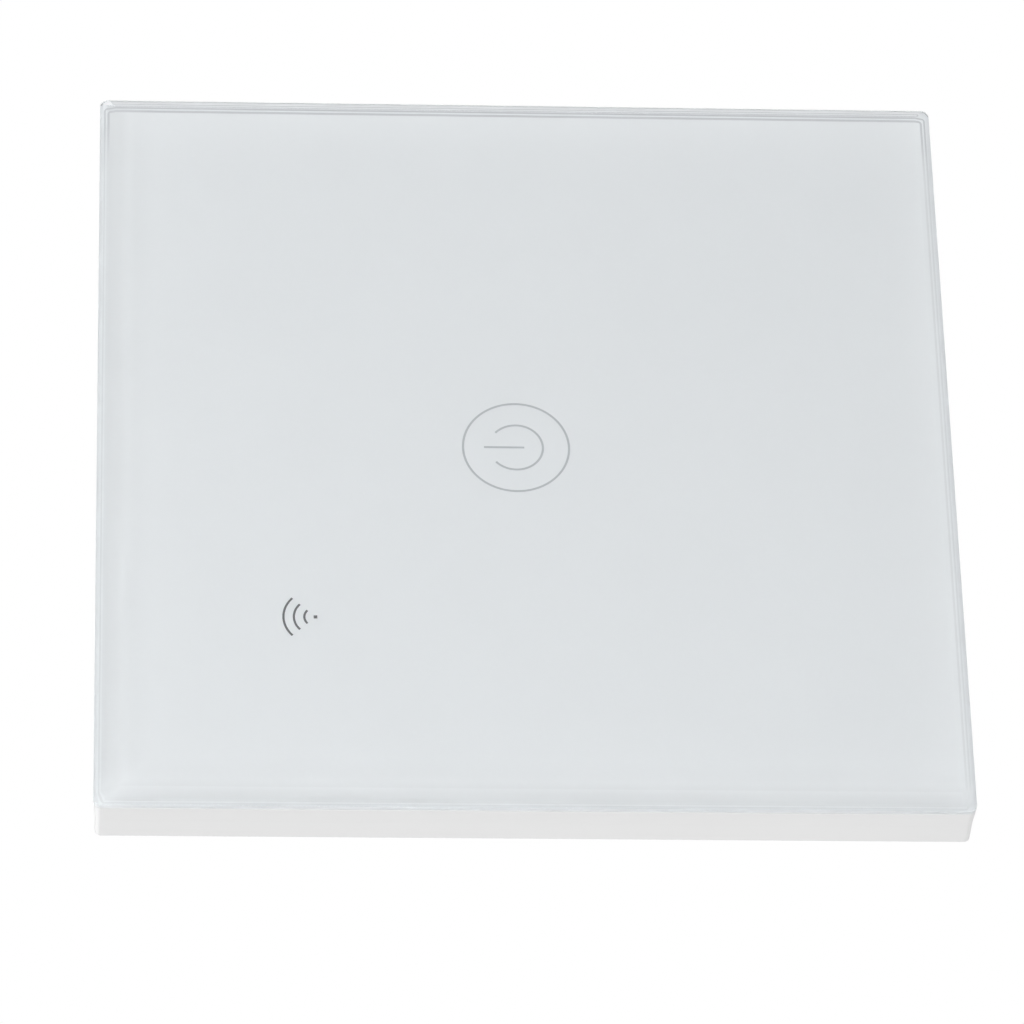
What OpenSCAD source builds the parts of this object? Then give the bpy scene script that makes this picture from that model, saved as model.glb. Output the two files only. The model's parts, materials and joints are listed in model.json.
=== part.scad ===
// Touch light switch for a square wall box.
// A glass-faced front panel snaps over a base, and the base carries a power module inside the wall box.
// Pieces are drawn lying down: x to the right, y up the wall, z out of the wall, with the wall at z = 0.
// on_wall() stands each one up, so that the glass faces -y and z points up.

/* [Front panel] */
// Width and height of the square glass
panel_w = 86; // [85:0.5:92]
// Corner radius of the glass and the frame, seen from the front
panel_corner_r = 0.6; // [0.5:0.1:2]
// Thickness of the glass
glass_t = 2; // [1.8:0.1:4]
// Step from the edge of the glass back to the frame's side
frame_step = 0.15; // [0:0.05:0.4]
// Width of the polished bevel round the front of the glass, cut at 45 degrees
glass_bevel = 1.3; // [0.4:0.1:1.5]
// Thickness of the opaque print on the back of the glass
print_t = 0.1; // [0.05:0.01:0.2]
// Clear border from the edge of the glass to the print
print_margin = 0.1; // [0.05:0.05:3]
// Thickness of the adhesive sheet behind the print
tape_t = 0.1; // [0.05:0.01:0.3]
// Border from the edge of the print to the adhesive sheet
tape_margin = 0.4; // [0.2:0.1:2]
// Height of the panel frame off the wall
frame_h = 4.9; // [4.8:0.1:7]
// Side wall of the panel frame
frame_wall = 2; // [1.8:0.1:2.6]
// Web of the panel frame behind the glass
frame_web = 1.1; // [1:0.1:1.2]
// Rounding of the frame's outer edges
frame_round = 0.3; // [0.1:0.05:0.45]
// Height of the ribs behind the web
frame_rib_h = 1.6; // [1:0.1:1.8]
// Width of the notch for prying the panel off
pry_w = 10; // [6:0.5:14]

/* [Marks] */
// Height of the touch mark over the panel's centre
touch_mark_y = 0.95; // [-2:0.05:4]
// Radius of the hole in the frame behind the touch mark
touch_hole_r = 7.5; // [7:0.1:9]
// Distance of the wireless mark left of the centre
wireless_mark_x = 21.2; // [18:0.1:22]
// Height of the wireless mark over the centre
wireless_mark_y = 22.9; // [20:0.1:25]
// Radius of the light guide behind the wireless mark
guide_r = 1.6; // [1:0.1:2.2]

/* [Touch board] */
// Width of the touch board
touch_board_w = 50; // [48:0.5:54]
// Height of the touch board
touch_board_h = 56; // [53:0.5:60]
// Thickness of the touch board
touch_board_t = 1; // [0.8:0.1:1.4]
// Gap between the base plate and the touch board
board_clear = 0.2; // [0.1:0.05:0.3]
// Radius of the posts that the touch board is screwed to
post_r = 2.5; // [2:0.1:3]
// Diameter of the contact spring's wire
spring_wire = 0.5; // [0.4:0.05:0.6]
// Radius of the contact spring at the board
spring_r_wide = 6; // [5.6:0.1:6.4]
// Radius of the contact spring at the glass
spring_r_narrow = 3.6; // [3:0.1:3.8]
// Turns of the contact spring
spring_turns = 3; // [2:1:3]
// Pins of the plug between panel and base
pin_count = 6; // [4:1:8]
// Distance between pins
pin_pitch = 2.54; // [2:0.01:2.54]

/* [Base] */
// Gap between the base and the inside of the panel frame
base_gap = 0.3; // [0.2:0.05:0.4]
// Thickness of the base plate
plate_t = 1.4; // [1.3:0.1:1.5]
// Height of the base's rim off the wall
rim_h = 3.3; // [3:0.1:3.5]
// Thickness of the base's rim
rim_t = 1.6; // [1.4:0.1:2.4]
// Distance between the two slots for the wall box screws
slot_spacing = 60.3; // [60:0.1:66]
// Width of these slots
slot_w = 4.2; // [3.5:0.1:5]
// Length of these slots
slot_len = 8.2; // [6:0.1:8.4]
// Thickness of a panel clip
clip_t = 0.4; // [0.3:0.05:0.5]
// Length of a panel clip
clip_len = 10; // [8:0.5:14]
// Height of a panel clip
clip_h = 2; // [1.6:0.1:2.2]
// How far a clip stands into the frame's groove
clip_bite = 0.5; // [0.3:0.05:0.6]

/* [Rear housing] */
// Width of the rear housing
housing_w = 50; // [49:0.5:51]
// Height of the rear housing
housing_h = 56; // [55:0.5:58]
// Depth of the rear housing behind the wall plane
housing_depth = 27; // [26.6:0.1:32]
// Wall of the rear housing
housing_wall = 1.6; // [1.4:0.1:1.8]
// Corner radius of the rear housing
housing_corner_r = 3; // [2:0.1:5]
// Rounding of its back edges
housing_round = 0.8; // [0.3:0.05:1.2]
// Radius of the screw columns in its corners
column_r = 3.2; // [2.9:0.1:3.6]
// Width of a vent slot
vent_w = 1.6; // [1:0.1:2.2]
// Length of a vent slot in the back
vent_len = 13; // [8:0.5:16]

/* [Power board] */
// Depth of the power board's front face behind the wall plane
power_drop = 8; // [7.6:0.1:8.2]
// Thickness of the power board
power_board_t = 1.6; // [1.2:0.1:2]
// Gap between the power board and the housing's walls
power_gap = 0.4; // [0.2:0.1:0.8]

/* [Terminals] */
// Number of terminals
terminals = 3; // [3:1:3]
// Distance between terminals
terminal_pitch = 7.62; // [7.5:0.01:8]
// Radius of the hole for a wire
wire_hole_r = 1.75; // [1.4:0.05:1.8]
// Clear height for a wire in an open cage
wire_space = 3.4; // [3:0.1:3.8]
// Width of a cage
cage_w = 5; // [4.8:0.1:5.4]
// Depth of a cage along the wire
cage_d = 4.4; // [4:0.1:5]
// Radius of a terminal screw's shank
screw_r = 1.5; // [1.2:0.05:1.6]
// Radius of a terminal screw's head
screw_head_r = 2; // [1.8:0.05:2.2]
// Width of the fixed tongue that the wire is pressed against
tongue_w = 3; // [2.4:0.1:3.1]

/* [Relay] */
// Width of the relay
relay_w = 15.5; // [14.5:0.1:16.5]
// Length of the relay
relay_l = 19; // [18.6:0.1:20]
// Height of the relay off the power board
relay_h = 15.2; // [14.8:0.1:15.4]
// Radius of the relay's core
core_r = 1.6; // [1.2:0.1:1.8]
// Radius of the relay's winding
winding_r = 4.3; // [3.6:0.1:4.4]
// Air gap between the armature and the pole
relay_gap = 0.55; // [0.5:0.05:0.7]

/* [Hidden] */
$fn = 48;
eps = 0.01;

// Faces of the front panel, counted outwards from the wall
web_back = frame_h - frame_web;
print_z = frame_h + tape_t;
glass_z = print_z + print_t;
print_w = panel_w - 2 * print_margin;
tape_w = print_w - 2 * tape_margin;
frame_w = panel_w - 2 * frame_step;
frame_in_w = frame_w - 2 * frame_wall;
frame_in_r = 1;
touch_mark = [0, touch_mark_y];
wireless_mark = [-wireless_mark_x, wireless_mark_y];
guide_gap = 0.05;
guide_flange = 0.6;
rib_t = 1;
rib_end_gap = 2;
short_rib_from = 8;
pry_h = 1;

// Base plate
base_w = frame_in_w - 2 * base_gap;
base_corner_r = 1.5;
groove_room = 0.3;
groove_end_room = 1;
groove_play = 0.2;
groove_depth = clip_bite + groove_room;
groove_len = clip_len + 2 * groove_end_room;
clip_z = 0.6;
clip_play = 0.1;
clip_seat_gap = 0.05;
pocket_depth = 0.9;
pocket_play = 0.7;
seat_depth = 0.6;
seat_play = 0.3;

// Rear housing
housing_back = -housing_depth;
housing_in_w = housing_w - 2 * housing_wall;
housing_in_h = housing_h - 2 * housing_wall;
column_inset = 3;
column = [housing_in_w / 2 - column_inset, housing_in_h / 2 - column_inset];
boss_end = -4;
boss_step = 0.3;
boss_r = column_r - boss_step;
pad_play = 0.4;
housing_screw_r = 1;
housing_screw_head_r = 2.1;
housing_screw_head_h = 1.8;
housing_screw_sink = 2.6;
housing_screw_tip = 0.5;
housing_screw_room = 0.4;
column_hole_r = 1.2;
column_recess_r = 2.4;
boss_hole_r = 1.05;
ledge_t = 2;
ledge_l = 3.2;
ledge_gap = 1.6;
ledge_y = column[1] - column_r - ledge_gap - ledge_l;
vent_pitch = 4.2;
vent_count = 8;
vent_at = [0, 8];
side_vent_len = 9;
side_vent_z = -17;

// Power board
power_front = -power_drop;
power_back = power_front - power_board_t;
power_w = housing_in_w - 2 * power_gap;
power_h = housing_in_h - 2 * power_gap;
corner_cut = column_inset + column_r + pad_play;
mill_slot = [1.4, 15];
mill_slot_at = [-0.5, 10];
lead_r = 0.35;
lead_play = 0.1;
lead_out = 1;
lead_in = 0.6;

// Touch board and what stands on it
board_back = plate_t + board_clear;
board_front = board_back + touch_board_t;
board_corner_r = 1;
board_screw_r = 0.8;
board_screw_head_r = 1.9;
board_screw_head_h = 1.4;
opening_room = [1, 1.5];
board_screw_x = 20.5;
board_screw = [board_screw_x, ledge_y - board_screw_head_r - opening_room[1]];
screw_play = 0.05;
post_skin = 0.4;
screw_tip_gap = 0.2;
post_hole_end = frame_h - post_skin;
board_screw_l = post_hole_end - screw_tip_gap - board_back;
board_hole_r = 1.1;
led_size = [2, 1.25, 0.6];
led_gap = 0.1;
guide_flange_t = web_back - board_front - led_size[2] - led_gap;
radio_at = [0, -10];
radio_size = [18, 24, 0.8];
shield_size = [15, 17, 2.2];
shield_corner_r = 0.8;
shield_shift = -2.5;
touch_chip_at = [-15, 3];
touch_chip_size = [5, 4, 1.5];
header_edge = 5;
header_at = [0, power_h / 2 - header_edge];
header_h = 2.5;
header_d = 2.5;
header_w = pin_count * pin_pitch;
pin_w = 0.64;
pin_play = 0.03;
pin_hole_r = 0.5;
pin_tail = 0.8;
pin_reach = 5.5;
socket_gap = 0.2;
socket_hole_w = 0.85;
socket_floor = 1.2;

// One terminal, counted inwards from the back face of its block
block_play = 0.1;
block_sink = 1;
face_sink = 0.4;
block_back = housing_back + block_sink;
block_h = power_back - block_back;
block_w = terminal_pitch - block_play;
head_sink = 1.2;
head_h = 2.2;
seat_gap = 0.05;
shoulder_t = 1;
clamp_left = 0.6;
cage_stop_gap = 0.15;
nut_t = 1.6;
tip_out = 0.4;
tongue_t = 1;
bar_t = 1;
cage_travel = wire_space - clamp_left;
shoulder_s = head_sink + head_h + seat_gap;
chamber_s = shoulder_s + shoulder_t;
nut_s = chamber_s + cage_travel + cage_stop_gap;
window_s = nut_s + nut_t;
tip_s = window_s + tip_out;
tongue_s = tip_s + seat_gap;
wire_s = tongue_s + tongue_t;
bar_s = wire_s + wire_space;
cage_end_s = bar_s + bar_t;
cage_play = 0.2;
thread_play = 0.05;
head_play = 0.2;
shank_play = 0.15;
block_front_wall = 2.4;
block_back_wall = 1.5;
tongue_play = 0.1;
leg_room = 1.2;
block_face = -housing_h / 2 + face_sink;
chamber_d = cage_d + 2 * cage_play;
chamber_face = block_face + block_front_wall;
screw_y = chamber_face + chamber_d / 2;
leg_back = chamber_face + chamber_d + tongue_t + leg_room;
block_top = leg_back + tongue_play + block_back_wall;
cage_wall = 0.8;
cage_bend_r = 0.7;
cage_window_r = 0.3;
saddle_r = 2.4;
saddle_d = 0.35;
screw_chamfer = 0.3;
drive_slot_w = 0.8;
drive_slot_d = 1;
funnel_d = 0.8;
funnel_step = 0.6;
access_step = 0.4;
tail_w = 1.2;

// Relay, counted from the power board towards the back
relay_edge = [4.5, 5];
relay_at = [power_w / 2 - relay_edge[0] - relay_w / 2, power_h / 2 - relay_edge[1] - relay_l / 2];
relay_wall = 0.8;
relay_corner_r = 0.6;
relay_play = 0.1;
relay_base_t = 2;
yoke_t = 1;
yoke_w = 8;
leg_inset = 1.8;
leg_y = relay_l / 2 - leg_inset;
coil_offset = 6.2;
coil_y = leg_y - coil_offset;
bobbin_t = 0.8;
bobbin_lip = 0.3;
bobbin_flange_r = winding_r + bobbin_lip;
bobbin_z = relay_base_t + yoke_t + relay_play;
bobbin_h = 7.4;
pole_z = bobbin_z + bobbin_h + relay_play;
pole_t = 0.6;
pole_r = 3;
yoke_rise = 0.3;
yoke_top = pole_z + pole_t + yoke_rise;
// The armature rocks on the round top edge of the yoke's leg
pivot_r = yoke_t / 2;
pivot_y = leg_y - pivot_r;
pivot_z = yoke_top - pivot_r;
armature_z = pole_z + pole_t + relay_gap;
armature_t = 1;
armature_reach = 4.5;
armature_tail = 0.3;
armature_end = coil_y - armature_reach;
armature_l = leg_y + armature_tail - armature_end;
blade_t = 0.3;
blade_w = 5;
blade_lap = 1;
blade_tip = 1.3;
rivet_r = 1.1;
rivet_inset = 3.1;
rivet_head = 0.15;
rivet_y = -relay_l / 2 + rivet_inset;
blade_end = rivet_y - blade_tip;
rivet_drop = armature_t + rivet_head;
rivet_z = armature_z + armature_t - rivet_drop;
contact_t = 0.6;
contact_w = 3;
contact_l = 3;
contact_h = 0.75;
contact_drop = 0.85;

// Other pieces behind the power board
core_size = [14, 5, 12.4];
core_leg_w = 3.6;
core_window = [3.4, 8];
core_lift = 1.3;
core_edge = [5, 6];
former_size = [10, 12.4];
former_wall = 0.7;
former_flange = 0.6;
former_z = core_lift + (core_size[2] - core_window[1]) / 2 + relay_play;
former_h = core_window[1] - 2 * relay_play;
former_leg = [core_leg_w + 2 * (former_wall + relay_play), core_size[1] + 2 * (former_wall + relay_play)];
wound_inset = [0.2, 0.3];
wound_corner_r = 1.2;
transformer_at = [-power_w / 2 + core_edge[0] + core_size[0] / 2,
  power_h / 2 - core_edge[1] - former_size[1] / 2];
can_r = 4;
can_h = 12;
can_gap = 1;
can_edge = 2;
can_neck = 0.35;
can_neck_z = 1.8;
can_round = 0.7;
can_dish = 0.3;
can_x = -power_w / 2 + can_edge + can_r;
transformer_gap = 1.5;
can_top_y = transformer_at[1] - former_size[1] / 2 - transformer_gap;
part_gap = 1;
safety_size = [13, 6, 12];
safety_corner_r = 0.5;
safety_x = -3.5;
relay_low = relay_at[1] - relay_l / 2;
safety_at = [safety_x, relay_low - part_gap - safety_size[1] / 2];
varistor_r = 5;
varistor_t = 4;
varistor_round = 1.2;
varistor_lift = 1.2;
varistor_at = [safety_x, safety_at[1] - safety_size[1] / 2 - part_gap - varistor_t / 2];
fuse_r = 4.25;
fuse_h = 7.5;
fuse_step = 0.3;
fuse_lift = 0.5;
fuse_edge = 2;
fuse_gap = 1.5;
fuse_at = [power_w / 2 - fuse_edge - fuse_r, relay_low - fuse_gap - fuse_r];
choke_r = 4;
choke_h = 9;
choke_rim = 1.6;
choke_waist = 0.7;
choke_x = 8;
choke_gap = 3.6;
choke_at = [choke_x, block_top + choke_gap + choke_r];
chip_size = [5, 4, 1.6];
chips_at = [[-15, 6], [6, -2], [-12, -12]];

// Wire ends and pins of these pieces, each counted from its piece's own centre
function lead_pair(half) = [[-half, 0], [half, 0]];
can_leads = lead_pair(1.75);
safety_leads = lead_pair(5);
varistor_leads = lead_pair(varistor_r / 2);
fuse_leads = lead_pair(2.5);
choke_leads = lead_pair(2.5);
relay_pin_inset = [2.25, 2.5];
relay_pin = [relay_w, relay_l] / 2 - relay_pin_inset;
relay_leads = [for (x = [-1, 1], y = [-1, 1]) [x * relay_pin[0], y * relay_pin[1]], [0, -relay_pin[1]]];
former_foot_y = (former_size[1] + core_size[1] + 2 * relay_play) / 4;
former_pin_pitch = 5;
former_leads = [for (x = [-1 : 1], y = [-1, 1]) [x * former_pin_pitch, y * former_foot_y]];
cans_at = [for (i = [0, 1]) [can_x, can_top_y - can_r - i * (2 * can_r + can_gap)]];
lead_groups = [[safety_at, safety_leads], [varistor_at, varistor_leads], [fuse_at, fuse_leads],
  [choke_at, choke_leads], [relay_at, relay_leads], [transformer_at, former_leads],
  for (c = cans_at) [c, can_leads]];

// Closest that the contact spring's turns come to each other, from points on its centre line
spring_steps = 8;
spring_end_gap = 0.02;
spring_low = board_front + spring_wire / 2 + spring_end_gap;
spring_high = print_z - spring_wire / 2 - spring_end_gap;
spring_path = [for (i = [0 : spring_turns * spring_steps])
  let (t = i / (spring_turns * spring_steps), a = 360 * i / spring_steps,
       r = spring_r_wide + (spring_r_narrow - spring_r_wide) * t)
  [r * cos(a), r * sin(a), spring_low + (spring_high - spring_low) * t]];
spring_gap = min([for (i = [0 : len(spring_path) - 1], j = [0 : len(spring_path) - 1])
  if (j - i > spring_steps / 2) norm(spring_path[i] - spring_path[j])]) - spring_wire;

// Stands a piece up on the wall
module on_wall() rotate([90, 0, 0]) children();

// Moves a piece to a point of the board or panel, at a height off the wall
module at(p, z = 0) translate([p[0], p[1], z]) children();

// Puts a piece on the back of the power board, growing towards the back
module behind_board(p) at(p, power_back) mirror([0, 0, 1]) children();

// Wire ends at points p, from a height inside their piece through the power board and out at its front
module leads(p, top = lead_in) for (q = p) translate([q[0], q[1], -power_board_t - lead_out])
  cylinder(r = lead_r, h = power_board_t + lead_out + top, $fn = 16);

// Repeats a piece in the four corners of a rectangle of half sizes p
module in_corners(p) for (sx = [-1, 1], sy = [-1, 1]) translate([sx * p[0], sy * p[1], 0]) children();

// Repeats a piece on the four sides of the square
module on_sides() for (a = [0 : 90 : 270]) rotate([0, 0, a]) children();

// Block of size s, centred in x and y, standing on z = 0
module block(s) translate([-s[0] / 2, -s[1] / 2, 0]) cube(s);

// Rectangle with round corners
module round_rect(w, h, r) {
  square([w - 2 * r, h], center = true);
  square([w, h - 2 * r], center = true);
  in_corners([w / 2 - r, h / 2 - r]) circle(r);
}

// Slot with round ends, its length along x
module slot_2d(l, w) {
  square([l - w, w], center = true);
  for (s = [-1, 1]) translate([s * (l - w) / 2, 0]) circle(w / 2);
}

// Quarter arc from angle a0 to a1, as points
function arc(c, r, a0, a1, n = 5) =
  [for (i = [0 : n]) let (a = a0 + (a1 - a0) * i / n) [c[0] + r * cos(a), c[1] + r * sin(a)]];

// Plate with round corners and softened edges, hulled from four turned corners
module soft_plate(w, h, corner_r, t, soft) {
  hull() in_corners([w / 2 - corner_r, h / 2 - corner_r]) rotate_extrude($fn = 32)
    polygon(concat([[0, 0]], arc([corner_r - soft, soft], soft, -90, 0),
                   arc([corner_r - soft, t - soft], soft, 0, 90), [[0, t]]));
}

// Tub with round corners and a softened floor edge, hulled from four turned corners
module soft_tub(w, h, corner_r, t, soft) {
  hull() in_corners([w / 2 - corner_r, h / 2 - corner_r]) rotate_extrude($fn = 32)
    polygon(concat([[0, 0]], arc([corner_r - soft, soft], soft, -90, 0), [[corner_r, t], [0, t]]));
}

// Pan head screw with a cross recess, its head's seat at z = 0 and its tip at z = l
module pan_screw(r, l, head_r, head_h) {
  cross_w = 0.3 * head_r;
  cross_d = 0.5 * head_h;
  cylinder(r = r, h = l);
  difference() {
    translate([0, 0, -head_h]) cylinder(r = head_r, h = head_h);
    for (a = [0, 90]) rotate([0, 0, a])
      translate([0, 0, -head_h - eps]) block([1.3 * head_r, cross_w, cross_d + eps]);
  }
}

// Tube swept along a path of points, with six sides
function ring_frame(path, i) =
  let (n = len(path), d = path[min(i + 1, n - 1)] - path[max(i - 1, 0)], t = d / norm(d),
       u = cross([0, 0, 1], t), s = u / norm(u)) [s, cross(t, s)];
module wire_tube(path, wire) {
  sides = 6;
  n = len(path);
  points = [for (i = [0 : n - 1]) let (f = ring_frame(path, i)) for (k = [0 : sides - 1])
    path[i] + wire / 2 * (cos(360 * k / sides) * f[0] + sin(360 * k / sides) * f[1])];
  walls = [for (i = [0 : n - 2], k = [0 : sides - 1])
    let (a = i * sides + k, b = i * sides + (k + 1) % sides)
    each [[a, b, b + sides], [a, b + sides, a + sides]]];
  ends = [for (k = [1 : sides - 2]) each
    [[0, k + 1, k], [(n - 1) * sides, (n - 1) * sides + k, (n - 1) * sides + k + 1]]];
  polyhedron(points, concat([for (f = walls) [f[2], f[1], f[0]]], [for (f = ends) [f[2], f[1], f[0]]]));
}

// Front panel

module glass_panel() color([0.86, 0.92, 0.94, 0.5]) on_wall() translate([0, 0, glass_z]) hull() {
  linear_extrude(glass_t - glass_bevel) round_rect(panel_w, panel_w, panel_corner_r, $fn = 32);
  linear_extrude(glass_t) square(panel_w - 2 * glass_bevel, center = true);
}

module printed_mask() color("whitesmoke") on_wall()
  translate([0, 0, print_z]) linear_extrude(print_t) round_rect(print_w, print_w, panel_corner_r / 2);

module bond_tape() color("gainsboro") on_wall()
  translate([0, 0, frame_h]) linear_extrude(tape_t) difference() {
    round_rect(tape_w, tape_w, panel_corner_r / 2);
    translate(touch_mark) circle(touch_hole_r);
    translate(wireless_mark) circle(guide_r + guide_gap);
  }

module panel_frame() color("white") on_wall() difference() {
  union() {
    difference() {
      soft_plate(frame_w, frame_w, panel_corner_r, frame_h, frame_round);
      translate([0, 0, -eps]) linear_extrude(web_back + eps) round_rect(frame_in_w, frame_in_w, frame_in_r);
      on_sides() translate([frame_in_w / 2 - eps, -groove_len / 2, clip_z - groove_play])
        cube([groove_depth + eps, groove_len, clip_h + 2 * groove_play]);
    }
    in_corners(board_screw) translate([0, 0, board_front])
      cylinder(r = post_r, h = web_back - board_front + eps);
    frame_ribs();
  }
  at(touch_mark, web_back - eps) cylinder(r = touch_hole_r, h = frame_web + 2 * eps);
  at(wireless_mark, web_back - eps) cylinder(r = guide_r + guide_gap, h = frame_web + 2 * eps);
  in_corners(board_screw) translate([0, 0, board_front - eps])
    cylinder(r = board_screw_r + screw_play, h = post_hole_end - board_front + eps);
  translate([frame_in_w / 4, -frame_w / 2 - eps, -eps]) translate([-pry_w / 2, 0, 0])
    cube([pry_w, frame_wall / 2 + eps, pry_h + eps]);
}

// Two ribs above and below the touch board and one beside each half of it
module frame_ribs() {
  rib_y = (touch_board_h / 2 + base_w / 2 - rim_t) / 2;
  rib_x = (touch_board_w / 2 + base_w / 2 - rim_t) / 2;
  rib_l = base_w - 2 * (rim_t + rib_end_gap);
  short_l = rib_y - short_rib_from;
  translate([0, 0, web_back - frame_rib_h]) for (s = [-1, 1]) {
    translate([0, s * rib_y, 0]) block([rib_l, rib_t, frame_rib_h + eps]);
    for (sx = [-1, 1]) translate([sx * rib_x, s * (short_rib_from + short_l / 2), 0])
      block([rib_t, short_l, frame_rib_h + eps]);
  }
}

module touch_board() color("seagreen") on_wall() translate([0, 0, board_back]) linear_extrude(touch_board_t)
  difference() {
    round_rect(touch_board_w, touch_board_h, board_corner_r);
    in_corners(board_screw) circle(board_hole_r);
    pin_row() circle(pin_hole_r);
  }

// One place for each pin of the plug
module pin_row() for (i = [0 : pin_count - 1])
  translate([header_at[0] + (i - (pin_count - 1) / 2) * pin_pitch, header_at[1], 0]) children();

module touch_spring() {
  echo(str("contact spring, least gap between turns: ", spring_gap, " mm"));
  color("silver") on_wall() at(touch_mark) wire_tube(spring_path, spring_wire);
}

module indicator_leds() color("khaki") on_wall() {
  at(touch_mark, board_front) block(led_size);
  at(wireless_mark, board_front) block(led_size);
}

module light_guide() color("azure") on_wall() at(wireless_mark, web_back - guide_flange_t) {
  cylinder(r = guide_r, h = frame_web + guide_flange_t);
  cylinder(r = guide_r + guide_flange, h = guide_flange_t);
}

module board_screws() color("silver") on_wall() in_corners(board_screw) translate([0, 0, board_back])
  pan_screw(board_screw_r, board_screw_l, board_screw_head_r, board_screw_head_h);

module touch_chip() color("dimgray") on_wall()
  at(touch_chip_at, board_back - touch_chip_size[2]) block(touch_chip_size);

module radio_board() color("midnightblue") on_wall()
  at(radio_at, board_back - radio_size[2]) block(radio_size);

module radio_shield() color("lightgray") on_wall()
  at(radio_at, board_back - radio_size[2] - shield_size[2]) translate([0, shield_shift, 0])
    linear_extrude(shield_size[2]) round_rect(shield_size[0], shield_size[1], shield_corner_r);

module pin_header() color("dimgray") on_wall() difference() {
  at(header_at, board_back - header_h) block([header_w, header_d, header_h]);
  pin_row() translate([0, 0, board_back - header_h - eps])
    block([pin_w + 2 * pin_play, pin_w + 2 * pin_play, header_h + 2 * eps]);
}

module header_pins() color("gold") on_wall() pin_row()
  translate([0, 0, board_back - header_h - pin_reach])
    block([pin_w, pin_w, pin_reach + header_h + touch_board_t + pin_tail]);

// Base

module base_plate() color("gainsboro") on_wall() difference() {
  union() {
    linear_extrude(plate_t) round_rect(base_w, base_w, base_corner_r);
    linear_extrude(rim_h) difference() {
      round_rect(base_w, base_w, base_corner_r);
      square(base_w - 2 * rim_t, center = true);
    }
    in_corners(column) translate([0, 0, boss_end]) cylinder(r = boss_r, h = seat_depth - boss_end + eps);
    in_corners([housing_in_w / 2 - seat_play - ledge_t / 2, ledge_y + ledge_l / 2])
      translate([0, 0, power_front]) block([ledge_t, ledge_l, power_drop + seat_depth + eps]);
  }
  // Seat for the housing's front edge, round the posts and bosses
  translate([0, 0, -eps]) linear_extrude(seat_depth + eps) difference() {
    round_rect(housing_w + 2 * seat_play, housing_h + 2 * seat_play, housing_corner_r + seat_play);
    in_corners(column) circle(boss_r);
    in_corners([housing_in_w / 2 - seat_play - ledge_t / 2, ledge_y + ledge_l / 2])
      square([ledge_t, ledge_l], center = true);
  }
  // Opening for the plug and the parts on the touch board, leaving a pad in each corner
  translate([0, 0, -eps]) linear_extrude(plate_t + 2 * eps) {
    square(2 * [board_screw[0] + board_screw_head_r + opening_room[0], ledge_y], center = true);
    square([2 * (column[0] - boss_r - pad_play), housing_in_h], center = true);
  }
  for (s = [-1, 1]) translate([s * slot_spacing / 2, 0, -eps])
    linear_extrude(plate_t + 2 * eps) slot_2d(slot_len, slot_w);
  on_sides() translate([base_w / 2 - pocket_depth, -(clip_len + pocket_play) / 2, clip_z - clip_play])
    cube([pocket_depth + eps, clip_len + pocket_play, clip_h + 2 * clip_play]);
  in_corners(column) translate([0, 0, boss_end - eps])
    cylinder(r = boss_hole_r, h = housing_screw_tip + housing_screw_room - boss_end + eps);
}

// Bowed leaf, its ends on the floor of its pocket and its crest in the frame's groove
module panel_clips() {
  foot_x = base_w / 2 - pocket_depth + clip_seat_gap;
  crest_x = frame_in_w / 2 + clip_bite;
  rise = crest_x - clip_t - foot_x;
  bow_r = (pow(clip_len / 2, 2) + pow(rise, 2)) / (2 * rise);
  color("silver") on_wall() on_sides() translate([0, 0, clip_z]) intersection() {
    translate([crest_x - clip_t - bow_r, 0, 0]) difference() {
      cylinder(r = bow_r + clip_t, h = clip_h);
      translate([0, 0, -eps]) cylinder(r = bow_r, h = clip_h + 2 * eps);
    }
    translate([foot_x, -clip_len / 2, 0]) cube([2 * rise + clip_t, clip_len, clip_h]);
  }
}

// Rear module

module rear_housing() color("whitesmoke") on_wall() difference() {
  union() {
    difference() {
      translate([0, 0, housing_back])
        soft_tub(housing_w, housing_h, housing_corner_r, housing_depth + seat_depth, housing_round);
      translate([0, 0, housing_back + housing_wall]) linear_extrude(housing_depth + seat_depth)
        round_rect(housing_in_w, housing_in_h, housing_corner_r - housing_wall);
    }
    in_corners(column) translate([0, 0, housing_back]) cylinder(r = column_r, h = boss_end - housing_back);
    in_corners([housing_in_w / 2 - ledge_t / 2 + eps, ledge_y + ledge_l / 2])
      translate([0, 0, housing_back + eps]) block([ledge_t, ledge_l, power_back - housing_back - eps]);
  }
  in_corners(column) translate([0, 0, housing_back - eps]) {
    cylinder(r = column_recess_r, h = housing_screw_sink + eps);
    cylinder(r = column_hole_r, h = boss_end - housing_back + 2 * eps);
  }
  terminal_bay();
  housing_vents();
}

// Cut through the bottom and back walls that shows the terminals
module terminal_bay() {
  bay_w = terminals * terminal_pitch + 2 * block_play;
  bay_d = block_top + block_play + housing_h / 2;
  translate([-bay_w / 2, -housing_h / 2 - eps, housing_back - eps])
    cube([bay_w, bay_d + eps, power_back + block_play - housing_back + eps]);
}

// Rows of slots in the back and side walls
module housing_vents() {
  at(vent_at, housing_back - eps) for (i = [0 : vent_count - 1])
    translate([(i - (vent_count - 1) / 2) * vent_pitch, 0, 0]) rotate([0, 0, 90])
      linear_extrude(housing_wall + 2 * eps) slot_2d(vent_len, vent_w);
  for (s = [-1, 1], i = [-1.5 : 1.5])
    translate([s * (housing_w - housing_wall) / 2, i * vent_pitch, side_vent_z]) rotate([0, 90, 0])
      translate([0, 0, -housing_wall / 2 - eps])
        linear_extrude(housing_wall + 2 * eps) slot_2d(side_vent_len, vent_w);
}

module housing_screws() color("silver") on_wall() in_corners(column)
  translate([0, 0, housing_back + housing_screw_sink]) pan_screw(housing_screw_r,
    housing_screw_tip - housing_back - housing_screw_sink, housing_screw_head_r, housing_screw_head_h);

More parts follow.
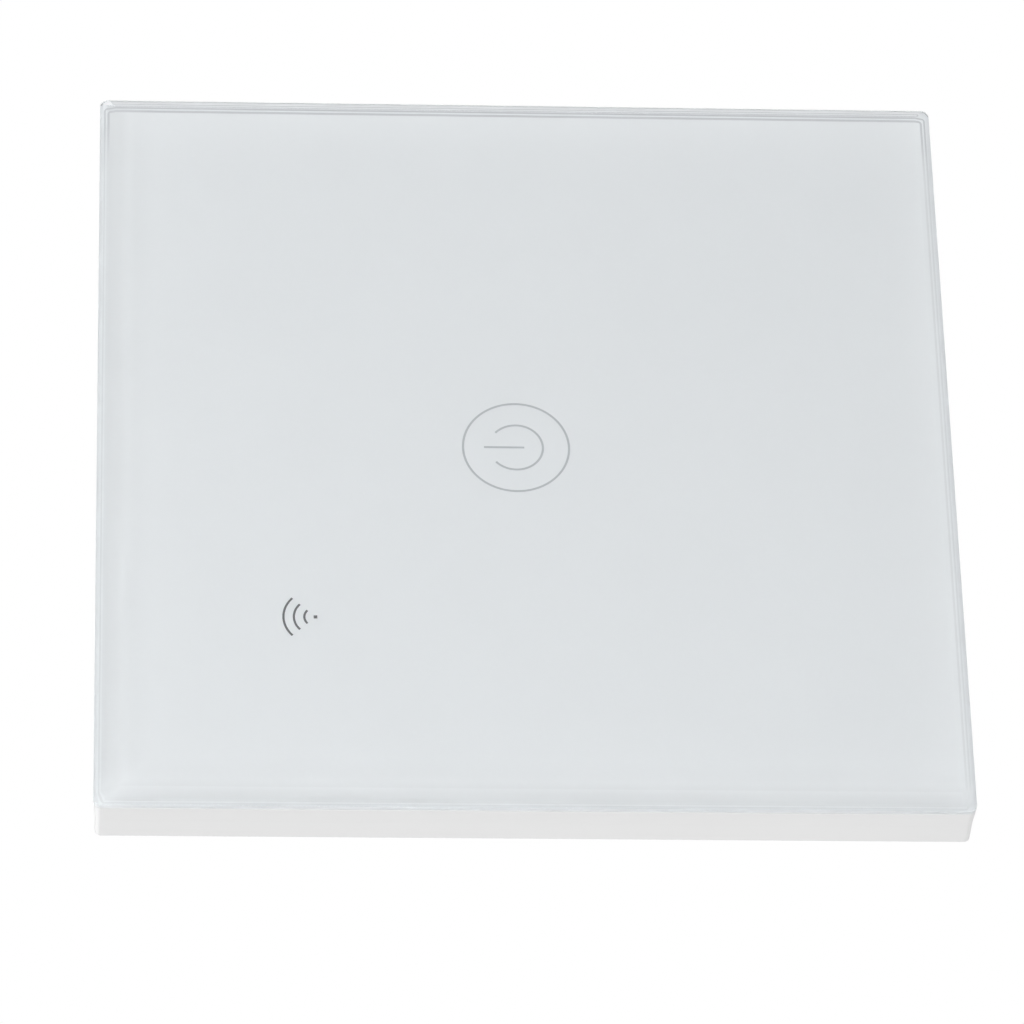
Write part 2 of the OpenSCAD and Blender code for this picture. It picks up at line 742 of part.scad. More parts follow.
module power_board() color("darkgreen") on_wall() translate([0, 0, power_back]) linear_extrude(power_board_t)
  difference() {
    square([power_w, power_h], center = true);
    in_corners([for (c = column) c - column_r - pad_play + corner_cut / 2]) square(corner_cut, center = true);
    translate(mill_slot_at) rotate(90) slot_2d(mill_slot[1], mill_slot[0]);
    for (g = lead_groups, q = g[1]) translate(g[0] + q) circle(lead_r + lead_play, $fn = 16);
    for (k = [1 : terminals]) translate([terminal_x(k), leg_back - tongue_t / 2])
      square([tail_w, tongue_t] + 2 * [lead_play, lead_play], center = true);
  }

module board_socket() color("dimgray") on_wall() difference() {
  socket_h = board_back - header_h - socket_gap - power_front;
  at(header_at, power_front) block([header_w, header_d, socket_h]);
  pin_row() translate([0, 0, power_front + socket_floor])
    block([socket_hole_w, socket_hole_w, socket_h]);
}

// Terminals

// Moves a piece to terminal k, with z counted inwards from the block's back face
function terminal_x(k) = (k - (terminals + 1) / 2) * terminal_pitch;
module at_terminal(k) translate([terminal_x(k), 0, block_back]) children();

module terminal_block(k) color("seagreen") on_wall() at_terminal(k) difference() {
  translate([-block_w / 2, block_face, 0]) cube([block_w, block_top - block_face, block_h]);
  translate([0, screw_y, -eps]) cylinder(r = screw_head_r + head_play, h = shoulder_s + eps);
  translate([0, screw_y, 0]) cylinder(r = screw_r + shank_play, h = chamber_s + eps);
  translate([0, screw_y, chamber_s]) block([cage_w + 2 * cage_play, chamber_d, block_h]);
  translate([0, screw_y, -eps])
    cylinder(r1 = screw_head_r + head_play + access_step, r2 = screw_head_r + head_play, h = access_step);
  translate([0, chamber_face + eps, wire_s + wire_space / 2]) rotate([90, 0, 0])
    cylinder(r = wire_hole_r, h = block_front_wall + 2 * eps);
  translate([0, block_face + funnel_d, wire_s + wire_space / 2]) rotate([90, 0, 0])
    cylinder(r1 = wire_hole_r, r2 = wire_hole_r + funnel_step, h = funnel_d + eps);
  translate([-tongue_w / 2 - tongue_play, screw_y, tongue_s - tongue_play])
    cube([tongue_w + 2 * tongue_play, leg_back + tongue_play - screw_y, block_h]);
}

module terminal_screw(k) color("silver") on_wall() at_terminal(k)
  translate([0, screw_y, head_sink]) difference() {
  screw_l = tip_s - head_sink;
  rotate_extrude() polygon([[0, 0], [screw_head_r - screw_chamfer, 0], [screw_head_r, screw_chamfer],
    [screw_head_r, head_h], [screw_r, head_h], [screw_r, screw_l - screw_chamfer],
    [screw_r - screw_chamfer, screw_l], [0, screw_l]]);
  translate([0, 0, -eps]) block([2 * screw_head_r + 1, drive_slot_w, drive_slot_d + eps]);
}

// Strip bent to a closed frame: a nut at the screw, two legs and a bar with a saddle for the wire
module terminal_cage(k) color("goldenrod") on_wall() at_terminal(k)
  translate([0, screw_y, nut_s]) difference() {
  cage_h = cage_end_s - nut_s;
  window_h = bar_s - window_s;
  window_w = cage_w - 2 * cage_wall;
  rotate([90, 0, 0]) linear_extrude(cage_d, center = true) difference() {
    translate([0, cage_h / 2]) round_rect(cage_w, cage_h, cage_bend_r);
    translate([0, nut_t + window_h / 2]) round_rect(window_w, window_h, cage_window_r);
    translate([0, nut_t + window_h + saddle_d - saddle_r]) intersection() {
      circle(saddle_r);
      translate([0, saddle_r]) square([window_w - 2 * cage_window_r, 2 * saddle_r], center = true);
    }
  }
  translate([0, 0, -eps]) cylinder(r = screw_r + thread_play, h = nut_t + 2 * eps);
}

module terminal_tongues() color("peru") on_wall() for (k = [1 : terminals]) at_terminal(k) {
  tongue_front = screw_y - cage_d / 2 + tongue_play;
  translate([-tongue_w / 2, tongue_front, tongue_s]) cube([tongue_w, leg_back - tongue_front, tongue_t]);
  translate([-tongue_w / 2, leg_back - tongue_t, tongue_s]) cube([tongue_w, tongue_t, block_h - tongue_s]);
  translate([-tail_w / 2, leg_back - tongue_t, tongue_s])
    cube([tail_w, tongue_t, block_h + power_board_t + lead_out - tongue_s]);
}

// Relay

module relay_base() color("dimgray") on_wall() behind_board(relay_at) {
  block([relay_w - 2 * (relay_wall + relay_play), relay_l - 2 * (relay_wall + relay_play), relay_base_t]);
  leads(relay_leads);
}

module relay_cover() color("royalblue") on_wall() behind_board(relay_at) difference() {
  linear_extrude(relay_h) round_rect(relay_w, relay_l, relay_corner_r);
  translate([0, 0, -eps])
    block([relay_w - 2 * relay_wall, relay_l - 2 * relay_wall, relay_h - relay_wall + eps]);
}

module relay_yoke() color("lightsteelblue") on_wall() behind_board(relay_at) {
  foot_l = leg_y - coil_y + pole_r;
  translate([-yoke_w / 2, leg_y - foot_l, relay_base_t]) cube([yoke_w, foot_l, yoke_t]);
  translate([-yoke_w / 2, leg_y - yoke_t, relay_base_t]) cube([yoke_w, yoke_t, pivot_z - relay_base_t]);
  translate([-yoke_w / 2, pivot_y, pivot_z]) rotate([0, 90, 0]) cylinder(r = pivot_r, h = yoke_w);
  translate([0, coil_y, relay_base_t]) cylinder(r = core_r, h = pole_z - relay_base_t + eps);
  translate([0, coil_y, pole_z]) cylinder(r = pole_r, h = pole_t);
}

module relay_bobbin() color("ivory") on_wall() behind_board(relay_at)
  translate([0, coil_y, bobbin_z]) difference() {
  union() {
    cylinder(r = core_r + relay_play + bobbin_t, h = bobbin_h);
    cylinder(r = bobbin_flange_r, h = bobbin_t);
    translate([0, 0, bobbin_h - bobbin_t]) cylinder(r = bobbin_flange_r, h = bobbin_t);
  }
  translate([0, 0, -eps]) cylinder(r = core_r + relay_play, h = bobbin_h + 2 * eps);
}

module relay_winding() color("chocolate") on_wall() behind_board(relay_at)
  translate([0, coil_y, bobbin_z + bobbin_t + relay_play]) difference() {
    winding_h = bobbin_h - 2 * bobbin_t - 2 * relay_play;
    cylinder(r = winding_r, h = winding_h);
    translate([0, 0, -eps]) cylinder(r = core_r + 2 * relay_play + bobbin_t, h = winding_h + 2 * eps);
  }

module relay_contact() color("goldenrod") on_wall() behind_board(relay_at) {
  seat_z = rivet_z - contact_drop - contact_h;
  translate([-contact_w / 2, rivet_y - contact_l / 2, relay_base_t])
    cube([contact_w, contact_t, seat_z - relay_base_t]);
  translate([-contact_w / 2, rivet_y - contact_l / 2, seat_z - contact_t])
    cube([contact_w, contact_l, contact_t]);
  translate([0, rivet_y, seat_z - eps]) cylinder(r = rivet_r, h = contact_h + eps);
}

module relay_armature() color("lightsteelblue") on_wall() behind_board(relay_at)
  translate([-yoke_w / 2, armature_end, armature_z]) cube([yoke_w, armature_l, armature_t]);

module relay_blade() color("goldenrod") on_wall() behind_board(relay_at) {
  translate([-blade_w / 2, blade_end, armature_z + armature_t])
    cube([blade_w, coil_y - blade_lap - blade_end, blade_t]);
  translate([0, rivet_y, rivet_z]) cylinder(r = rivet_r, h = rivet_drop + eps);
}

// Other pieces behind the power board

module transformer_core() color("dimgray") on_wall() behind_board(transformer_at)
  translate([0, 0, core_lift]) difference() {
    block(core_size);
    for (s = [-1, 1])
      translate([s * (core_leg_w + core_window[0]) / 2, 0, (core_size[2] - core_window[1]) / 2])
        block([core_window[0], core_size[1] + 1, core_window[1]]);
  }

module transformer_bobbin() color("black") on_wall() behind_board(transformer_at) difference() {
  union() {
    for (z = [former_z, former_z + former_h - former_flange])
      translate([0, 0, z]) block([former_size[0], former_size[1], former_flange]);
    translate([0, 0, former_z]) block([former_leg[0], former_leg[1], former_h]);
    for (s = [-1, 1]) translate([0, s * former_foot_y, 0])
      block([core_size[0] - 1, (former_size[1] - core_size[1]) / 2 - relay_play, former_z + eps]);
    leads(former_leads);
  }
  translate([0, 0, former_z - eps])
    block([core_leg_w + 2 * relay_play, core_size[1] + 2 * relay_play, former_h + 2 * eps]);
}

module transformer_winding() color("gold") on_wall() behind_board(transformer_at) {
  wound_z = former_z + former_flange + relay_play;
  wound_h = former_h - 2 * (former_flange + relay_play);
  translate([0, 0, wound_z]) linear_extrude(wound_h) difference() {
    round_rect(former_size[0] - 2 * wound_inset[0], former_size[1] - 2 * wound_inset[1], wound_corner_r);
    square([for (w = former_leg) w + 2 * relay_play], center = true);
  }
}

// Aluminium can with a rolled neck and a dished top
module can(r, h) rotate_extrude() polygon(concat([[0, 0], [r - can_neck, 0], [r, can_neck],
  [r, can_neck_z - can_neck], [r - can_neck, can_neck_z], [r, can_neck_z + can_neck]],
  arc([r - can_round, h - can_round], can_round, 0, 90),
  [[r - can_round - can_dish, h - can_dish], [0, h - can_dish]]));

module electrolytic_capacitors() color("darkslategray") on_wall() for (c = cans_at) behind_board(c) {
  can(can_r, can_h);
  leads(can_leads);
}

module safety_capacitor() color("gold") on_wall() behind_board(safety_at) {
  linear_extrude(safety_size[2]) round_rect(safety_size[0], safety_size[1], safety_corner_r);
  leads(safety_leads);
}

module varistor() color("royalblue") on_wall() behind_board(varistor_at) {
  translate([0, 0, varistor_lift + varistor_r]) rotate([90, 0, 0]) rotate_extrude()
    polygon(concat([[0, -varistor_t / 2]],
      arc([varistor_r - varistor_round, varistor_round - varistor_t / 2], varistor_round, -90, 0),
      arc([varistor_r - varistor_round, varistor_t / 2 - varistor_round], varistor_round, 0, 90),
      [[0, varistor_t / 2]]));
  leads(varistor_leads, varistor_lift + varistor_r / 2);
}

module fuse() color("saddlebrown") on_wall() behind_board(fuse_at) {
  cylinder(r = fuse_r - fuse_step, h = fuse_lift + eps);
  translate([0, 0, fuse_lift]) cylinder(r = fuse_r, h = fuse_h - fuse_lift);
  leads(fuse_leads);
}

module filter_choke() color("dimgray") on_wall() behind_board(choke_at) {
  cylinder(r = choke_r - choke_waist, h = choke_h);
  for (z = [0, choke_h - choke_rim]) translate([0, 0, z]) cylinder(r = choke_r, h = choke_rim);
  leads(choke_leads);
}

module power_chips() color("dimgray") on_wall() for (p = chips_at) at(p, power_front) block(chip_size);

glass_panel();
printed_mask();
bond_tape();
panel_frame();
touch_board();
touch_spring();
indicator_leds();
light_guide();
board_screws();
touch_chip();
radio_board();
radio_shield();
pin_header();
header_pins();
base_plate();
panel_clips();
rear_housing();
housing_screws();
power_board();
board_socket();
terminal_block(1);  // terminal_block_1
terminal_block(2);  // terminal_block_2
terminal_block(3);  // terminal_block_3
terminal_screw(1);  // terminal_screw_1
terminal_screw(2);  // terminal_screw_2
terminal_screw(3);  // terminal_screw_3
terminal_cage(1);  // terminal_cage_1
terminal_cage(2);  // terminal_cage_2
terminal_cage(3);  // terminal_cage_3
terminal_tongues();
relay_base();
relay_cover();
relay_yoke();
relay_bobbin();
relay_winding();
relay_contact();
relay_armature();
relay_blade();
transformer_core();
transformer_bobbin();
transformer_winding();
electrolytic_capacitors();
safety_capacitor();
varistor();
fuse();
filter_choke();
power_chips();
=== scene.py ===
# %% [markdown]
# # Touch light switch
# A square glass-faced switch for a wall box. The construction model already holds every solid piece
# at its real size, so this lesson only adds what Blender is good at: light, finishes, the clear
# glass with its back print, and small fittings that are easier to draw as surfaces. All lengths are
# in metres, the glass faces -Y and +Z points up the wall.

# %% Load the construction model
import json
import math

import bpy
import numpy as np
from mathutils import Matrix, Vector


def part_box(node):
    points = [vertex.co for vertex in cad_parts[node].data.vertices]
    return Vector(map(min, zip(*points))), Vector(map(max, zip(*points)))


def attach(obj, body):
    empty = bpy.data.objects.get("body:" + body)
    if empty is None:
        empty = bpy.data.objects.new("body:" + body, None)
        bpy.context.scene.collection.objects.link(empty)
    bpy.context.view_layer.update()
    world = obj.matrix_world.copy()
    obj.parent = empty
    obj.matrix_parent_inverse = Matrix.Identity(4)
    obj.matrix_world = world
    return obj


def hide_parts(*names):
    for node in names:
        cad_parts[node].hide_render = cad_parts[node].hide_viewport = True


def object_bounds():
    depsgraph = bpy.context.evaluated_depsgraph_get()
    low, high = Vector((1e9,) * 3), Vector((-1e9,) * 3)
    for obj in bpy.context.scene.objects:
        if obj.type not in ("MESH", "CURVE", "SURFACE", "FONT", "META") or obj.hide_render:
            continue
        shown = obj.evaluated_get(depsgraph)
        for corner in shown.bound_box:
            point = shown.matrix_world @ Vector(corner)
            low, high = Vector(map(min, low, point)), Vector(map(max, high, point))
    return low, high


MM = 0.001
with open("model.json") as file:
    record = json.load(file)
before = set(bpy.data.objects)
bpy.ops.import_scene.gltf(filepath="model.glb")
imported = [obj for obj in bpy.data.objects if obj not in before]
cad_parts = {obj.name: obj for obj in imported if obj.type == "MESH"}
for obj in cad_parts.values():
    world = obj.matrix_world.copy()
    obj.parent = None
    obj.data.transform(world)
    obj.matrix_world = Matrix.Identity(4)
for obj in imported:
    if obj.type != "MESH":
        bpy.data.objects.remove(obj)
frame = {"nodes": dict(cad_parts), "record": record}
cad_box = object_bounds()
nodes = frame["nodes"]
slot_of = {row["node"]: row["material_slot"] for row in frame["record"]["subparts"]}
scene = bpy.context.scene
scene.view_settings.view_transform = "Standard"
print("box", [tuple(round(v, 4) for v in corner) for corner in cad_box])

# %% [markdown]
# ## Camera
# The photograph looks at the switch from its left, from far away and with a long lens. The switch
# lies on its side in it: the photograph's up is the switch's right. The camera could be turned by
# hand until the edges fit. Here it is given by three measured things, the eye, the point it aims at
# and the direction that points up the picture, because these stay readable and scale with the
# glass.

# %% Camera
PHOTO_PX = 1024
FOCAL_PX = 7311.8
SENSOR_MM = 36.0
NEAR_CLIP = 10 * MM
FITTED_GLASS_W = 86 * MM
BEVEL_DROP = 1.0 * MM
EYE = Vector((-421.0, -599.7, 42.9)) * MM
AIM = Vector((-8.163, 0.0, 1.594)) * MM
PHOTO_UP = Vector((0.82396, -0.56656, 0.01004))

glass_low, glass_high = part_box("glass_panel")
glass_w = glass_high.x - glass_low.x
glass_centre = (glass_low + glass_high) / 2
edge_centre = Vector((glass_centre.x, glass_low.y + BEVEL_DROP, glass_centre.z))


def look(eye, aim, up):
    """Matrix of a camera at eye that looks at aim: its own axes are right, up and backwards."""
    ahead = (aim - eye).normalized()
    right = ahead.cross(up).normalized()
    axes = Matrix((right, right.cross(ahead), -ahead)).transposed().to_4x4()
    return Matrix.Translation(eye) @ axes


camera = bpy.data.objects.new("camera", bpy.data.cameras.new("camera"))
scene.collection.objects.link(camera)
camera.data.sensor_width = SENSOR_MM
camera.data.lens = SENSOR_MM * FOCAL_PX / PHOTO_PX
camera.data.clip_start = NEAR_CLIP
fit = glass_w / FITTED_GLASS_W
camera.matrix_world = look(edge_centre + fit * EYE, edge_centre + fit * AIM, PHOTO_UP)
scene.camera = camera
print("lens", round(camera.data.lens, 1), "mm, eye", [round(v, 3) for v in camera.location])

# %% [markdown]
# ## World
# The picture is a plain product shot on white. A white world gives the background to the camera, to
# reflections and to what is seen through the glass, and a dimmer level to everything else, so that
# a pale surface keeps its colour and doesn't clip. The Light Path node tells these rays apart.

# %% World
WORLD_LEVEL = 0.56

world = bpy.data.worlds.new("white_studio")
world.use_nodes = True
scene.world = world
tree = world.node_tree
background = tree.nodes["Background"]
background.inputs["Color"].default_value = (1, 1, 1, 1)
path = tree.nodes.new("ShaderNodeLightPath")
seen = path.outputs["Is Camera Ray"]
for ray in ("Is Glossy Ray", "Is Transmission Ray"):
    larger = tree.nodes.new("ShaderNodeMath")
    larger.operation = "MAXIMUM"
    tree.links.new(seen, larger.inputs[0])
    tree.links.new(path.outputs[ray], larger.inputs[1])
    seen = larger.outputs[0]
strength = tree.nodes.new("ShaderNodeMapRange")
strength.inputs["To Min"].default_value = WORLD_LEVEL
tree.links.new(seen, strength.inputs["Value"])
tree.links.new(strength.outputs["Result"], background.inputs["Strength"])
print("world level", WORLD_LEVEL)

# %% [markdown]
# ## Lamps
# Soft lamps give the sides different tones. The key stands in front, to the left and above, near
# enough for its light to fall off across the face. Polished glass would mirror it as a hard disc,
# so the key is left out of reflections. A second lamp lights the side of the frame. Watts say
# little by themselves, so a lamp's power is worked out from the level that it adds on a white
# surface facing it.

# %% Lamps
# Each row: direction from the switch, distance and width in metres, level on a surface that faces
# the lamp
LAMPS = {
    "key": ((-0.40, -0.80, 0.40), 0.5, 0.28, 0.41),
    "side": ((-0.97, -0.10, 0.20), 0.8, 0.45, 0.15),
    "fill": ((0.96, -0.15, 0.25), 1.1, 0.8, 0.22),
    "top": ((0.05, 0.10, 1.00), 1.1, 0.8, 0.03),
    "back": ((-0.25, 0.75, 0.60), 1.1, 0.8, 0.20),
}
UNMIRRORED_LAMP = "key"
LAMP_UP = Vector((0.1, 0.2, 1))
LAMP_AIM = Vector((0, 0, 0))

for name, (direction, distance, width, level) in LAMPS.items():
    lamp = bpy.data.objects.new(name + "_lamp", bpy.data.lights.new(name + "_lamp", "AREA"))
    scene.collection.objects.link(lamp)
    lamp.data.shape = "DISK"
    lamp.data.size = width
    # A small lamp of a power P gives white, at a distance d, the brightness P / (pi d)^2
    lamp.data.energy = level * (math.pi * distance) ** 2
    lamp.matrix_world = look(Vector(direction).normalized() * distance, LAMP_AIM, LAMP_UP)
    lamp.visible_camera = False
    lamp.visible_glossy = name != UNMIRRORED_LAMP
    print(lamp.name, round(lamp.data.energy, 2), "W")

# %% [markdown]
# ## Making pieces
# Each new piece is a surface worked out with numpy: a grid of points, and the quads between
# neighbours. Three helpers are enough. The first numbers the quads of a grid, which may close on
# itself along either side. The second measures what a surface encloses. The third puts the points
# and faces in a mesh, turns the faces outwards where the enclosed volume comes out negative, and
# hangs the piece on the body that carries it.


# %% Helpers for pieces
def grid_faces(rows, cols, close_rows=False, close_cols=False):
    """Quads between the neighbours of a rows by cols grid, wrapped round where a side closes."""
    r = np.arange(rows if close_rows else rows - 1)[:, None]
    c = np.arange(cols if close_cols else cols - 1)[None, :]
    r1 = (r + 1) % rows
    c1 = (c + 1) % cols
    corners = [r * cols + c, r * cols + c1, r1 * cols + c1, r1 * cols + c]
    return np.stack(np.broadcast_arrays(*corners), -1).reshape(-1, 4).tolist()


def enclosed(points, faces):
    """Volume inside a closed surface: each face is cut into a fan of triangles, and a triangle
    a, b, c makes a tetrahedron with the origin, whose volume is a . (b x c) / 6."""
    total = 0.0
    for n in {len(f) for f in faces}:
        p = points[np.array([f for f in faces if len(f) == n])]
        wedges = np.cross(p[:, 1:-1], p[:, 2:])
        total += np.einsum("ij,ikj->", p[:, 0], wedges) / 6
    return total


def piece(name, points, faces, body, slot, stands_for=(), smooth=True):
    """Mesh object of these points and faces, outwards, hung on a body. The slot is not used."""
    points = np.asarray(points, float).reshape(-1, 3)
    if enclosed(points - points.mean(0), faces) < 0:
        faces = [f[::-1] for f in faces]
    mesh = bpy.data.meshes.new(name)
    mesh.from_pydata(points.tolist(), [], faces)
    mesh.polygons.foreach_set("use_smooth", [smooth and len(f) <= 4 for f in faces])
    mesh.update()
    obj = bpy.data.objects.new(name, mesh)
    scene.collection.objects.link(obj)
    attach(obj, body)
    if stands_for:
        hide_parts(*stands_for)
    print(name, len(faces), "faces, on", body)
    return obj


# %% [markdown]
# ## Front glass
# The front is a plate of clear glass with a wide polished bevel. A cube with a Bevel would do for a
# drawing, but here the edge is what the eye reads: light enters the bevel and leaves again through
# the face, so the profile has to be exact. The plate is a profile (bevel with softened edges, side,
# back arris) carried round a square with round corners. Three functions give the square, the bevel
# and the plate.

# %% Outlines and profiles of plates
GLASS_CORNER = 0.8 * MM
MITRE_R = 0.05 * MM
CORNER_STEPS = 16
EDGE_STEPS = 6


def round_square(width, corner, inset):
    """Square with round corners, seen from the front: each point is a corner's centre plus a
    turned radius. Insets, one per ring, shorten that radius down to a mitre, so the rings stay
    parallel. Gives rings by points by (x, z)."""
    turn = np.linspace(0, math.pi / 2, CORNER_STEPS + 1)
    angle = (np.arange(4)[:, None] * math.pi / 2 + turn).ravel()
    sign = np.repeat([[1, 1], [-1, 1], [-1, -1], [1, -1]], CORNER_STEPS + 1, axis=0)
    inset = np.asarray(inset)[:, None, None]
    radius = np.maximum(corner - inset, MITRE_R)
    return (width / 2 - inset - radius) * sign + radius * np.stack([np.cos(angle), np.sin(angle)], -1)


def bevel_profile(width, drop, soft):
    """Insets and depths of a bevel whose two edges are arcs of radius soft. An arc that turns by an
    angle a starts soft * tan(a / 2) before its edge, and its points are
    (start - soft sin t, soft - soft cos t) as t goes to a."""
    slope = math.atan2(drop, width)
    first = np.linspace(0, slope, EDGE_STEPS + 1)
    second = np.linspace(slope, math.pi / 2, EDGE_STEPS + 1)
    lead_in = soft * math.tan(slope / 2)
    lead_out = soft * math.tan((math.pi / 2 - slope) / 2)
    insets = np.concatenate([width + lead_in - soft * np.sin(first), soft - soft * np.sin(second)])
    depths = np.concatenate([soft - soft * np.cos(first), drop + lead_out - soft * np.cos(second)])
    return insets, depths


def ringed_plate(insets, depths):
    """Plate of the glass's outline whose edge has a profile: a ring for each pair of inset and
    depth, and a face at either end."""
    rings = round_square(glass_w, GLASS_CORNER, insets)
    y = np.broadcast_to(np.asarray(depths)[:, None, None], rings[..., :1].shape)
    points = np.concatenate([rings[..., :1], y, rings[..., 1:]], -1)
    rows, cols = points.shape[:2]
    faces = grid_faces(rows, cols, close_cols=True)
    faces += [list(range(cols))[::-1], list(range((rows - 1) * cols, rows * cols))]
    return points.reshape(-1, 3) + np.array([glass_centre.x, 0, glass_centre.z]), faces


# %% [markdown]
# ## Glass and print
# The print is white ink on the back of the glass. The back of the plate lies a hair behind the
# front of the print, so that inside the glass light meets the ink directly, as it does on real
# back-printed glass, and not a film of air. Behind the open part of its side the plate steps in, to
# leave room for a lip of the frame.

# %% Glass and print
BEVEL_W = 1.55 * MM
EDGE_R = 0.12 * MM
BACK_ARRIS = 0.02 * MM
OPEN_SIDE = 0.6 * MM
LIP_T = 0.10 * MM
LIP_GAP = 0.01 * MM
PRINT_MARGIN = 0.02 * MM
INK_CONTACT = 0.01 * MM

print_low, print_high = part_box("printed_mask")
glass_back = print_low.y + INK_CONTACT
lip_top = edge_centre.y + OPEN_SIDE
ledge = lip_top - LIP_GAP
rebate = LIP_T + LIP_GAP

insets, depths = bevel_profile(BEVEL_W, BEVEL_DROP, EDGE_R)
insets = np.append(insets, [0, rebate, rebate, rebate + BACK_ARRIS])
depths = np.append(glass_low.y + depths, [ledge, ledge, glass_back - BACK_ARRIS, glass_back])
plate = ringed_plate(insets, depths)
glass = piece("front_glass", *plate, "front_panel", "glass", ["glass_panel"], smooth=False)
plate = ringed_plate([rebate + PRINT_MARGIN] * 2, [print_low.y, print_high.y])
white_back = piece("white_back", *plate, "front_panel", "white_print", ["printed_mask"], smooth=False)

# %% [markdown]
# ## Frame lip
# A thin lip of the frame closes round the back part of the glass's side and runs out on the frame,
# so that only a narrow line of the ground side shows. It could be joined to the frame with a
# Boolean. Here it is a ring of its own: a small closed profile carried round the outline of the
# glass.

# %% Frame lip
LIP_SOFT = 0.06 * MM
LIP_LAP = 1.8 * MM
LIP_FOOT_T = 0.02 * MM

frame_low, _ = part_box("panel_frame")
foot_in = frame_low.x - glass_low.x - LIP_GAP
foot_y = frame_low.y + LIP_LAP
insets = [LIP_T, LIP_SOFT, 0, foot_in, foot_in + LIP_FOOT_T]
depths = [lip_top, lip_top, lip_top + LIP_SOFT, foot_y, foot_y]
points, _ = ringed_plate(insets, depths)
faces = grid_faces(len(insets), len(points) // len(insets), close_rows=True, close_cols=True)
frame_lip = piece("frame_lip", points, faces, "front_panel", "panel_plastic", smooth=False)

# %% [markdown]
# ## Printed marks
# The touch mark, a ring round a power sign, and the wireless mark are printed on the back of the
# glass under the white. Curves with a bevel would make round cords of them. Each line here is a
# flat ribbon, a small rectangle carried along an arc or a straight run, which lies on the white ink
# inside the glass.

# %% Touch mark and wireless mark
INK_T = 0.012 * MM
LINE_W = 0.22 * MM
ARC_POINTS = 96
UP = math.pi / 2
TOUCH_MARK = np.array([-0.17, 0.99]) * MM
RING_R = 5.33 * MM
POWER_R = 2.70 * MM
POWER_OPEN = math.radians(41)
POWER_BAR = TOUCH_MARK + np.array([[0.0, -0.83], [0.0, 3.22]]) * MM
WIRELESS_MARK = np.array([-20.83, 21.30]) * MM
WIRELESS_DOT_R = 0.18 * MM
WIRELESS_RADII = np.array([1.10, 2.13, 3.16]) * MM
WIRELESS_HALF = math.radians(44)


def arc(centre, radius, start, end):
    """Points of an arc on the front, from one angle to another, counted from +X towards +Z."""
    a = np.linspace(start, end, ARC_POINTS)
    return np.asarray(centre) + radius * np.stack([np.cos(a), np.sin(a)], -1)


def ribbon(path, width, closed=False):
    """Rectangle, one line wide and one coat of ink thick, carried along a path on the back of the
    glass. A path point moves half a width to either side, along the normal of the path there."""
    along = np.roll(path, -1, 0) - np.roll(path, 1, 0) if closed else np.gradient(path, axis=0)
    along = along / np.linalg.norm(along, axis=1, keepdims=True)
    aside = np.stack([-along[:, 1], along[:, 0]], -1) * width / 2
    left, right = path + aside, path - aside
    corners = np.stack([left, right, right, left], 1)
    depth = np.array([0, 0, -INK_T, -INK_T]) + print_low.y
    y = np.broadcast_to(depth[None, :, None], corners[..., :1].shape)
    points = np.concatenate([corners[..., :1], y, corners[..., 1:]], -1)
    n = len(path)
    faces = grid_faces(n, 4, close_rows=closed, close_cols=True)
    if not closed:
        faces += [[3, 2, 1, 0], list(range(4 * n - 4, 4 * n))]
    return points.reshape(-1, 3), faces


def joined(parts):
    """One list of points and faces from several, with the later faces numbered on."""
    starts = np.cumsum([0] + [len(p) for p, _ in parts])
    faces = [[int(i + s) for i in f] for (_, fs), s in zip(parts, starts) for f in fs]
    return np.concatenate([p for p, _ in parts]), faces


circle = arc(TOUCH_MARK, RING_R, 0, 2 * math.pi)[:-1]
power = arc(TOUCH_MARK, POWER_R, UP + POWER_OPEN, UP + 2 * math.pi - POWER_OPEN)
touch_lines = joined([ribbon(circle, LINE_W, True), ribbon(power, LINE_W), ribbon(POWER_BAR, LINE_W)])
touch_mark = piece("touch_mark", *touch_lines, "front_panel", "white_print", smooth=False)

waves = [arc(WIRELESS_MARK, r, UP - WIRELESS_HALF, UP + WIRELESS_HALF) for r in WIRELESS_RADII]
dot = ribbon(WIRELESS_MARK + np.array([[0, -1], [0, 1]]) * WIRELESS_DOT_R, 2 * WIRELESS_DOT_R)
wireless_lines = joined([ribbon(wave, LINE_W) for wave in waves] + [dot])
wireless_mark = piece("wireless_mark", *wireless_lines, "front_panel", "white_print", smooth=False)

# %% [markdown]
# ## Painted shadow lines of the print
# Two lines of painted shadow run round the print a little inside the edge of the glass, darkest
# along the right side. Each is a ribbon again, this time carried round a square with small corners.

# %% Painted shadow lines of the print
# Lines of painted shadow round the print, inside the edge of the glass
# Each row: distance from the edge of the glass, width of the line
SHADOW_LINES = ((0.84 * MM, 0.20 * MM), (1.27 * MM, 0.26 * MM))
SHADOW_LINE_CORNER = 0.25 * MM

# The painted shadow lines are ribbons round squares inside the glass's outline
squares = [round_square(glass_w - 2 * inset, SHADOW_LINE_CORNER, [0])[0] for inset, _ in SHADOW_LINES]
lines = [ribbon(square, width, True) for square, (_, width) in zip(squares, SHADOW_LINES)]
shadow_lines = piece("painted_shadow_lines", *joined(lines), "front_panel", "white_print", smooth=False)

# %% [markdown]
# ## Finishes
# A finish is a Principled shader with patterns on its colour, roughness and relief. Small helpers
# build the parts that all finishes share, so that each finish below is a few lines that say what is
# special about it. First come colours and the shader with its constants.


# %% Helpers for colours and shaders
def paint(red, green, blue):
    """Colour as seen on a screen, 0 to 255, turned by the sRGB curve into the linear values that a
    shader takes."""
    seen = np.array([red, green, blue]) / 255
    linear = np.where(seen <= 0.04045, seen / 12.92, ((seen + 0.055) / 1.055) ** 2.4)
    return (*linear.tolist(), 1.0)


def shade(colour, factor):
    """The same colour, darker or lighter."""
    return (*(min(1.0, c * factor) for c in colour[:3]), 1.0)


def shades(colour, factors):
    """Several shades of one colour."""
    return [shade(colour, factor) for factor in factors]


